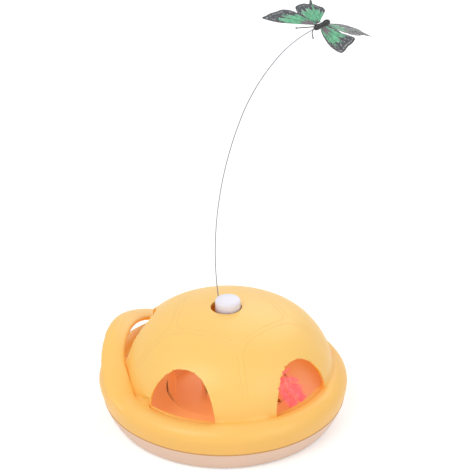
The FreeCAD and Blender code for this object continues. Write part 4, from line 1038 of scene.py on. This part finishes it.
def wing(name, shape, back, side, look):
    """One film wing: a fan of quads from its root to a faintly scalloped edge, bowed, with a UV map
    that runs round the edge in u and from the root outward in v."""
    around, outward = 96, 22
    rim = rounded(shape["outline"], around)
    root = Vector(shape["root"])
    build = bmesh.new()
    layer = build.loops.layers.uv.new("wing")
    rows = []
    for ring in range(outward + 1):
        share = ring / outward
        row = []
        for index, edge in enumerate(rim):
            u = index / (around - 1)
            notch = 0.5 - 0.5 * math.cos(2.0 * math.pi * SCALLOPS * u)
            wave = 1.0 - SCALLOP_DEPTH * notch * math.sin(math.pi * u)
            spot = root.lerp(edge, share * wave)
            bow = look.cup / MM * math.sin(math.pi * share) * math.sin(math.pi * u)
            ripple = RIPPLE * math.sin(2.0 * math.pi * SCALLOPS * u) * share
            row.append(build.verts.new(plane_point(spot.x, spot.y, back - bow - ripple)))
        rows.append(row)
    for ring in range(outward):
        for index in range(around - 1):
            corners = ((ring, index), (ring + 1, index), (ring + 1, index + 1), (ring, index + 1))
            face = build.faces.new([rows[a][b] for a, b in corners])
            for loop, (a, b) in zip(face.loops, corners):
                loop[layer].uv = (b / (around - 1), a / outward)
            face.smooth = True
    bmesh.ops.remove_doubles(build, verts=build.verts, dist=0.00001)
    bmesh.ops.recalc_face_normals(build, faces=build.faces)
    mesh = mesh_of(name, build)
    hinge = plane_point(0.0, 0.0, FOLD_BACK)
    first, last = (plane_point(*point, 0.0) for point in FOLD_LINE)
    axis = (last - first).normalized()
    turn = Matrix.Rotation(math.radians(side * DIHEDRAL), 4, axis)
    mesh.transform(Matrix.Translation(hinge) @ turn @ Matrix.Translation(-hinge))
    piece = placed(name, mesh)
    thick = piece.modifiers.new("film", "SOLIDIFY")
    thick.thickness = look.film
    thick.offset = 0.0
    return piece


def wing_material(name, look, veins, band_low, band_high, see_through):
    """Printed film wing: a rosy grey root, a mint band, a dark field with fine pale streaks, and a
    dark margin with a pale line inside it."""
    material, tree, shader = new_material(name)
    map_node = tree.nodes.new("ShaderNodeUVMap")
    map_node.uv_map = "wing"
    split = tree.nodes.new("ShaderNodeSeparateXYZ")
    tree.links.new(map_node.outputs["UV"], split.inputs[0])
    u, v = split.outputs[0], split.outputs[1]
    place = object_position(tree)[0]
    calc, mask, mixed = (partial(make, tree) for make in (math_node, smooth_mask, mix_colour))
    wander = calc("SUBTRACT", noise(tree, place, 260.0, 3.0), 0.5)
    lane = calc("ADD", calc("MULTIPLY", u, veins), calc("MULTIPLY", wander, 0.7))
    vein = calc("PINGPONG", lane, 0.5)
    fine = calc("PINGPONG", calc("MULTIPLY", lane, 2.0), 0.5)
    on_vein = mask(vein, 0.09, 0.03)
    edge = calc("ADD", v, calc("MULTIPLY", wander, 0.4))
    lobe = calc("MULTIPLY", vein, 0.26)
    begun = mask(calc("ADD", edge, lobe), band_low, band_low + 0.14)
    band = calc("MULTIPLY", begun, mask(calc("SUBTRACT", edge, lobe), band_high, band_high - 0.12))
    dust = noise(tree, place, 1500.0, 2.0, 0.7)
    lighter = tuple(min(1.0, part * 1.9 + 0.01) for part in look.dark)
    dark = mixed(mask(dust, 0.35, 0.7), look.dark, lighter)
    field = mixed(mask(edge, band_low + 0.12, band_low - 0.08), dark, look.rose)
    deep = tuple(part * 0.6 for part in look.band)
    green = mixed(mask(noise(tree, place, 420.0, 3.0), 0.3, 0.75), look.band, deep)
    tint = mixed(calc("MULTIPLY", on_vein, 0.55), mixed(band, field, green), look.dark)
    outer = calc("MULTIPLY", mask(v, band_high - 0.12, band_high), mask(v, 0.9, 0.82))
    broken = mask(noise(tree, place, 700.0, 2.0), 0.42, 0.6)
    streak = calc("MULTIPLY", calc("MULTIPLY", outer, mask(fine, 0.3, 0.44)), broken)
    tint = mixed(calc("MULTIPLY", streak, 0.65), tint, look.pale)
    line = calc("MULTIPLY", mask(v, 0.89, 0.91), mask(v, 0.95, 0.93))
    tint = mixed(calc("MULTIPLY", line, calc("MULTIPLY", broken, 0.6)), tint, look.pale)
    tint = mixed(mask(v, 0.955, 0.975), tint, look.dark)
    tree.links.new(tint, shader.inputs["Base Color"])
    shader.inputs["Roughness"].default_value = 0.38
    shader.inputs["Coat Weight"].default_value = 0.2
    film = calc("MULTIPLY", calc("SUBTRACT", 1.0, on_vein), see_through)
    tree.links.new(calc("SUBTRACT", 1.0, film), shader.inputs["Alpha"])
    bump(tree, shader, calc("ADD", on_vein, calc("MULTIPLY", dust, 0.3)), 0.00008)
    return material


class CATTOY_OT_wings(bpy.types.Operator):
    """Make the four printed film wings"""
    bl_idname = "cattoy.wings"
    bl_label = "Wings"

    def execute(self, context):
        look = context.scene.cattoy_butterfly
        fore = wing_material("fore wing print", look, 9.0, 0.30, 0.66, 0.0)
        hind = wing_material("hind wing print", look, 8.0, 0.10, 0.70, 0.05)
        thin = wing_material("thin wing print", look, 7.0, 0.16, 0.52, 0.42)
        plan = (
            ("wing_print_fore_left", "wing_fore_left", FORE_LEFT, FORE_BACK, -1.0, fore),
            ("wing_print_hind_left", "wing_hind_left", HIND_LEFT, HIND_BACK, -1.0, hind),
            ("wing_print_fore_right", "wing_fore_right", FORE_RIGHT, FORE_BACK, 1.0, fore),
            ("wing_print_hind_right", "wing_hind_right", HIND_RIGHT, HIND_BACK, 1.0, thin),
        )
        for name, node, shape, back, side, material in plan:
            piece = wing(name, shape, back, side, look)
            piece.data.materials.append(material)
            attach(piece, "rotor")
            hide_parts(node)
        return {"FINISHED"}


# the rings lie across this way of the plane, so far apart
RING_ACROSS = 0.87
RING_UP = 0.49
RING_GAP = 1.1


def body_material(look):
    """Glossy black plastic with fine rings across the abdomen."""
    material, tree, shader = new_material("butterfly body")
    calc = partial(math_node, tree)
    x, y, z = object_position(tree)[1]
    turn = math.radians(CAMERA_TURN)
    across = calc("ADD", calc("MULTIPLY", x, math.cos(turn)), calc("MULTIPLY", y, math.sin(turn)))
    along = calc("ADD", calc("MULTIPLY", across, RING_ACROSS), calc("MULTIPLY", z, RING_UP))
    ring = calc("SINE", calc("MULTIPLY", along, 2.0 * math.pi / (RING_GAP * MM)))
    surface = moulded(tree, 0.0004, 0.5, 0.2, 0.3)
    shader.inputs["Base Color"].default_value = (*look.body, 1.0)
    tree.links.new(surface.outputs["Roughness"], shader.inputs["Roughness"])
    shader.inputs["Coat Weight"].default_value = 0.3
    bump(tree, shader, calc("ADD", ring, surface.outputs["Height"]), 0.00006)
    return material


# the lobes' middles, half lengths and radii, and the way along the body
BODY_LOBES = (((-4.3, -2.1), 3.5, 2.5), ((-0.9, -0.3), 3.0, 2.1), ((2.7, 1.6), 3.5, 2.7))
BODY_ACROSS = 0.88
BODY_UP = 0.475
BODY_GRID = 0.32
FEELER_RADIUS = 0.42
FEELER_KNOB = 0.72
FEELER_NEAR = ((-7.2, -1.8), (-10.6, -2.1), (-15.2, -2.5), (-21.4, -2.9))
FEELER_DOWN = ((-6.9, -3.4), (-8.4, -5.2), (-8.5, -8.0), (-7.6, -11.4))


def body_lobes(look):
    """The two plump lobes of the body and the waist between them, grown together."""
    build = bmesh.new()
    along = SIDEWAYS * BODY_ACROSS + Vector((0.0, 0.0, BODY_UP))
    upward = SIDEWAYS * -BODY_UP + Vector((0.0, 0.0, BODY_ACROSS))
    tilt = Matrix((along, upward, -BEHIND)).transposed()
    for (across, up), half_length, radius in BODY_LOBES:
        stretch = Matrix.Diagonal((half_length * MM, radius * MM, radius * MM, 1.0))
        where = Matrix.Translation(plane_point(across, up, 0.0)) @ tilt.to_4x4() @ stretch
        bmesh.ops.create_icosphere(build, subdivisions=3, radius=1.0, matrix=where)
    source = placed("body_source", mesh_of("body_source", build))
    joined = source.modifiers.new("joined", "REMESH")
    joined.mode = "VOXEL"
    joined.voxel_size = BODY_GRID * MM
    joined.use_smooth_shade = True
    relaxed = source.modifiers.new("relaxed", "SMOOTH")
    relaxed.iterations = 4
    return baked(source, "body_skin")


def feeler(name, points):
    """One antenna: a thin bent rod with a knob at its end."""
    curve = bpy.data.curves.new(name, "CURVE")
    curve.dimensions = "3D"
    curve.bevel_depth = FEELER_RADIUS * MM
    curve.bevel_resolution = 3
    curve.use_fill_caps = True
    line = curve.splines.new("NURBS")
    line.points.add(len(points) - 1)
    for point, (across, up) in zip(line.points, points):
        point.co = (*plane_point(across, up, 0.0), 1.0)
    line.use_endpoint_u = True
    line.order_u = 3
    piece = baked(placed(name, curve), name)
    build = bmesh.new()
    build.from_mesh(piece.data)
    tip = Matrix.Translation(plane_point(*points[-1], 0.0))
    bmesh.ops.create_icosphere(build, subdivisions=2, radius=FEELER_KNOB * MM, matrix=tip)
    for face in build.faces:
        face.smooth = True
    build.to_mesh(piece.data)
    build.free()
    return piece


class CATTOY_OT_butterfly_body(bpy.types.Operator):
    """Make the butterfly's two-lobed body and its bent antennae"""
    bl_idname = "cattoy.butterfly_body"
    bl_label = "Butterfly Body"

    def execute(self, context):
        look = context.scene.cattoy_butterfly
        material = body_material(look)
        pieces = (
            (body_lobes(look), "butterfly_body"),
            (feeler("feeler_near", FEELER_NEAR), "antenna_left"),
            (feeler("feeler_down", FEELER_DOWN), "antenna_right"),
        )
        for piece, node in pieces:
            piece.data.materials.clear()
            piece.data.materials.append(material)
            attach(piece, "rotor")
            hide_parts(node)
        return {"FINISHED"}


# the studio

FLOOR_RADIUS = 9.0

# each lamp's name, place in metres, width and power
LAMPS = (
    ("key light", (-0.75, -1.15, 1.5), 1.3, 13.0),
    ("fill light", (1.3, -0.9, 0.9), 1.2, 5.0),
    ("back light", (0.2, 1.3, 1.1), 1.2, 5.0),
)
LAMP_AIM = (0.0, 0.0, 0.08)

# the middle of the picture, in millimetres to the side of the turning axis and up
AIM_SIDE = 6.2
AIM_UP = 154.1


def seen_by(tree, *rays):
    """1 for light rays of the named kinds, and 0 for any other."""
    path = tree.nodes.new("ShaderNodeLightPath")
    seen = path.outputs[rays[0]]
    for ray in rays[1:]:
        seen = math_node(tree, "MAXIMUM", seen, path.outputs[ray])
    return seen


def floor_material(look):
    """White paper floor that keeps the toy's shadow and shows white to the camera."""
    material, tree, shader = new_material("floor paper")
    fibre = noise(tree, object_position(tree)[0], 300.0, 2.0)
    shade = math_node(tree, "MULTIPLY_ADD", fibre, 0.02, 0.86)
    grey = tree.nodes.new("ShaderNodeCombineColor")
    for index in range(3):
        tree.links.new(shade, grey.inputs[index])
    tree.links.new(grey.outputs[0], shader.inputs["Base Color"])
    shader.inputs["Roughness"].default_value = 0.9
    shader.inputs["Specular IOR Level"].default_value = 0.0
    shader.inputs["Emission Color"].default_value = (1.0, 1.0, 1.0, 1.0)
    glow = math_node(tree, "MULTIPLY", seen_by(tree, "Is Camera Ray", "Is Glossy Ray"), look.floor_glow)
    tree.links.new(glow, shader.inputs["Emission Strength"])
    return material


def floor_sheet(look, drop):
    """A round sheet of paper under the toy."""
    build = bmesh.new()
    bmesh.ops.create_circle(build, cap_ends=True, segments=96, radius=FLOOR_RADIUS)
    mesh = mesh_of("floor", build)
    mesh.transform(Matrix.Translation((0.0, 0.0, drop)))
    piece = placed("floor", mesh)
    mesh.materials.append(floor_material(look))
    return piece


def soft_light(name, place, aim, size, power):
    """A large soft lamp aimed at a point."""
    lamp = bpy.data.lights.new(name, "AREA")
    lamp.shape = "DISK"
    lamp.size = size
    lamp.energy = power
    piece = placed(name, lamp)
    piece.location = place
    piece.rotation_euler = (Vector(aim) - Vector(place)).to_track_quat("-Z", "Y").to_euler()
    return piece


def white_world(look):
    """Even light from all round, with plain white where the camera or a reflection looks past."""
    world = bpy.data.worlds.new("white room")
    bpy.context.scene.world = world
    world.use_nodes = True
    tree = world.node_tree
    tree.nodes.clear()
    output = tree.nodes.new("ShaderNodeOutputWorld")
    background = tree.nodes.new("ShaderNodeBackground")
    background.inputs["Color"].default_value = (1.0, 1.0, 1.0, 1.0)
    seen = seen_by(tree, "Is Camera Ray", "Is Glossy Ray", "Is Transmission Ray")
    extra = math_node(tree, "MULTIPLY_ADD", seen, 1.0 - look.ambient, look.ambient)
    tree.links.new(extra, background.inputs["Strength"])
    tree.links.new(background.outputs["Background"], output.inputs["Surface"])


def photo_camera(look):
    """The photograph's camera: its place, downward tilt and angle of view."""
    turn = look.turn
    level = math.cos(look.pitch)
    ahead = Vector((-math.sin(turn) * level, math.cos(turn) * level, -math.sin(look.pitch)))
    side = Vector((math.cos(turn), math.sin(turn), 0.0))
    up = side.cross(ahead)
    place = side * (AIM_SIDE * MM) + up * (AIM_UP * MM) - ahead * look.distance
    data = bpy.data.cameras.new("photo view")
    data.sensor_fit = "HORIZONTAL"
    data.angle = look.view_angle
    data.clip_end = 60.0
    piece = placed("photo view", data)
    piece.matrix_world = Matrix.Translation(place) @ Matrix((side, up, -ahead)).transposed().to_4x4()
    bpy.context.scene.camera = piece
    return piece


class CATTOY_OT_studio(bpy.types.Operator):
    """Set the floor, the soft light and the photograph's camera"""
    bl_idname = "cattoy.studio"
    bl_label = "Studio"

    def execute(self, context):
        look = context.scene.cattoy_studio
        context.scene.view_settings.view_transform = "Standard"
        white_world(look)
        floor_sheet(look, CAD_BOX[0].z)
        for name, place, size, power in LAMPS:
            soft_light(name, place, LAMP_AIM, size, power)
        photo_camera(look)
        return {"FINISHED"}


OPERATORS = (
    CATTOY_OT_studio,
    CATTOY_OT_shell,
    CATTOY_OT_drum,
    CATTOY_OT_cap,
    CATTOY_OT_works,
    CATTOY_OT_feather,
    CATTOY_OT_wings,
    CATTOY_OT_butterfly_body,
)
LOOKS = {
    "cattoy_shell": ShellLook,
    "cattoy_feather": FeatherLook,
    "cattoy_butterfly": ButterflyLook,
    "cattoy_studio": StudioLook,
}


class CATTOY_PT_panel(bpy.types.Panel):
    """The toy's sizes, colours and build steps"""
    bl_idname = "CATTOY_PT_panel"
    bl_label = "Cat Feather Toy"
    bl_space_type = "VIEW_3D"
    bl_region_type = "UI"
    bl_category = "Cat Toy"

    def draw(self, context):
        for holder in LOOKS:
            box = self.layout.box()
            group = getattr(context.scene, holder)
            for name in group.__annotations__:
                box.prop(group, name)
        column = self.layout.column()
        for operator in OPERATORS:
            column.operator(operator.bl_idname)


def register():
    for look in LOOKS.values():
        bpy.utils.register_class(look)
    for holder, look in LOOKS.items():
        setattr(bpy.types.Scene, holder, bpy.props.PointerProperty(type=look))
    for operator in OPERATORS:
        bpy.utils.register_class(operator)
    bpy.utils.register_class(CATTOY_PT_panel)


def unregister():
    bpy.utils.unregister_class(CATTOY_PT_panel)
    for operator in reversed(OPERATORS):
        bpy.utils.unregister_class(operator)
    for holder in LOOKS:
        delattr(bpy.types.Scene, holder)
    for look in reversed(list(LOOKS.values())):
        bpy.utils.unregister_class(look)


def main():
    register()
    bpy.ops.cattoy.studio()
    bpy.ops.cattoy.shell()
    bpy.ops.cattoy.drum()
    bpy.ops.cattoy.cap()
    bpy.ops.cattoy.works()
    bpy.ops.cattoy.feather()
    bpy.ops.cattoy.wings()
    bpy.ops.cattoy.butterfly_body()


if __name__ == "__main__":
    main()
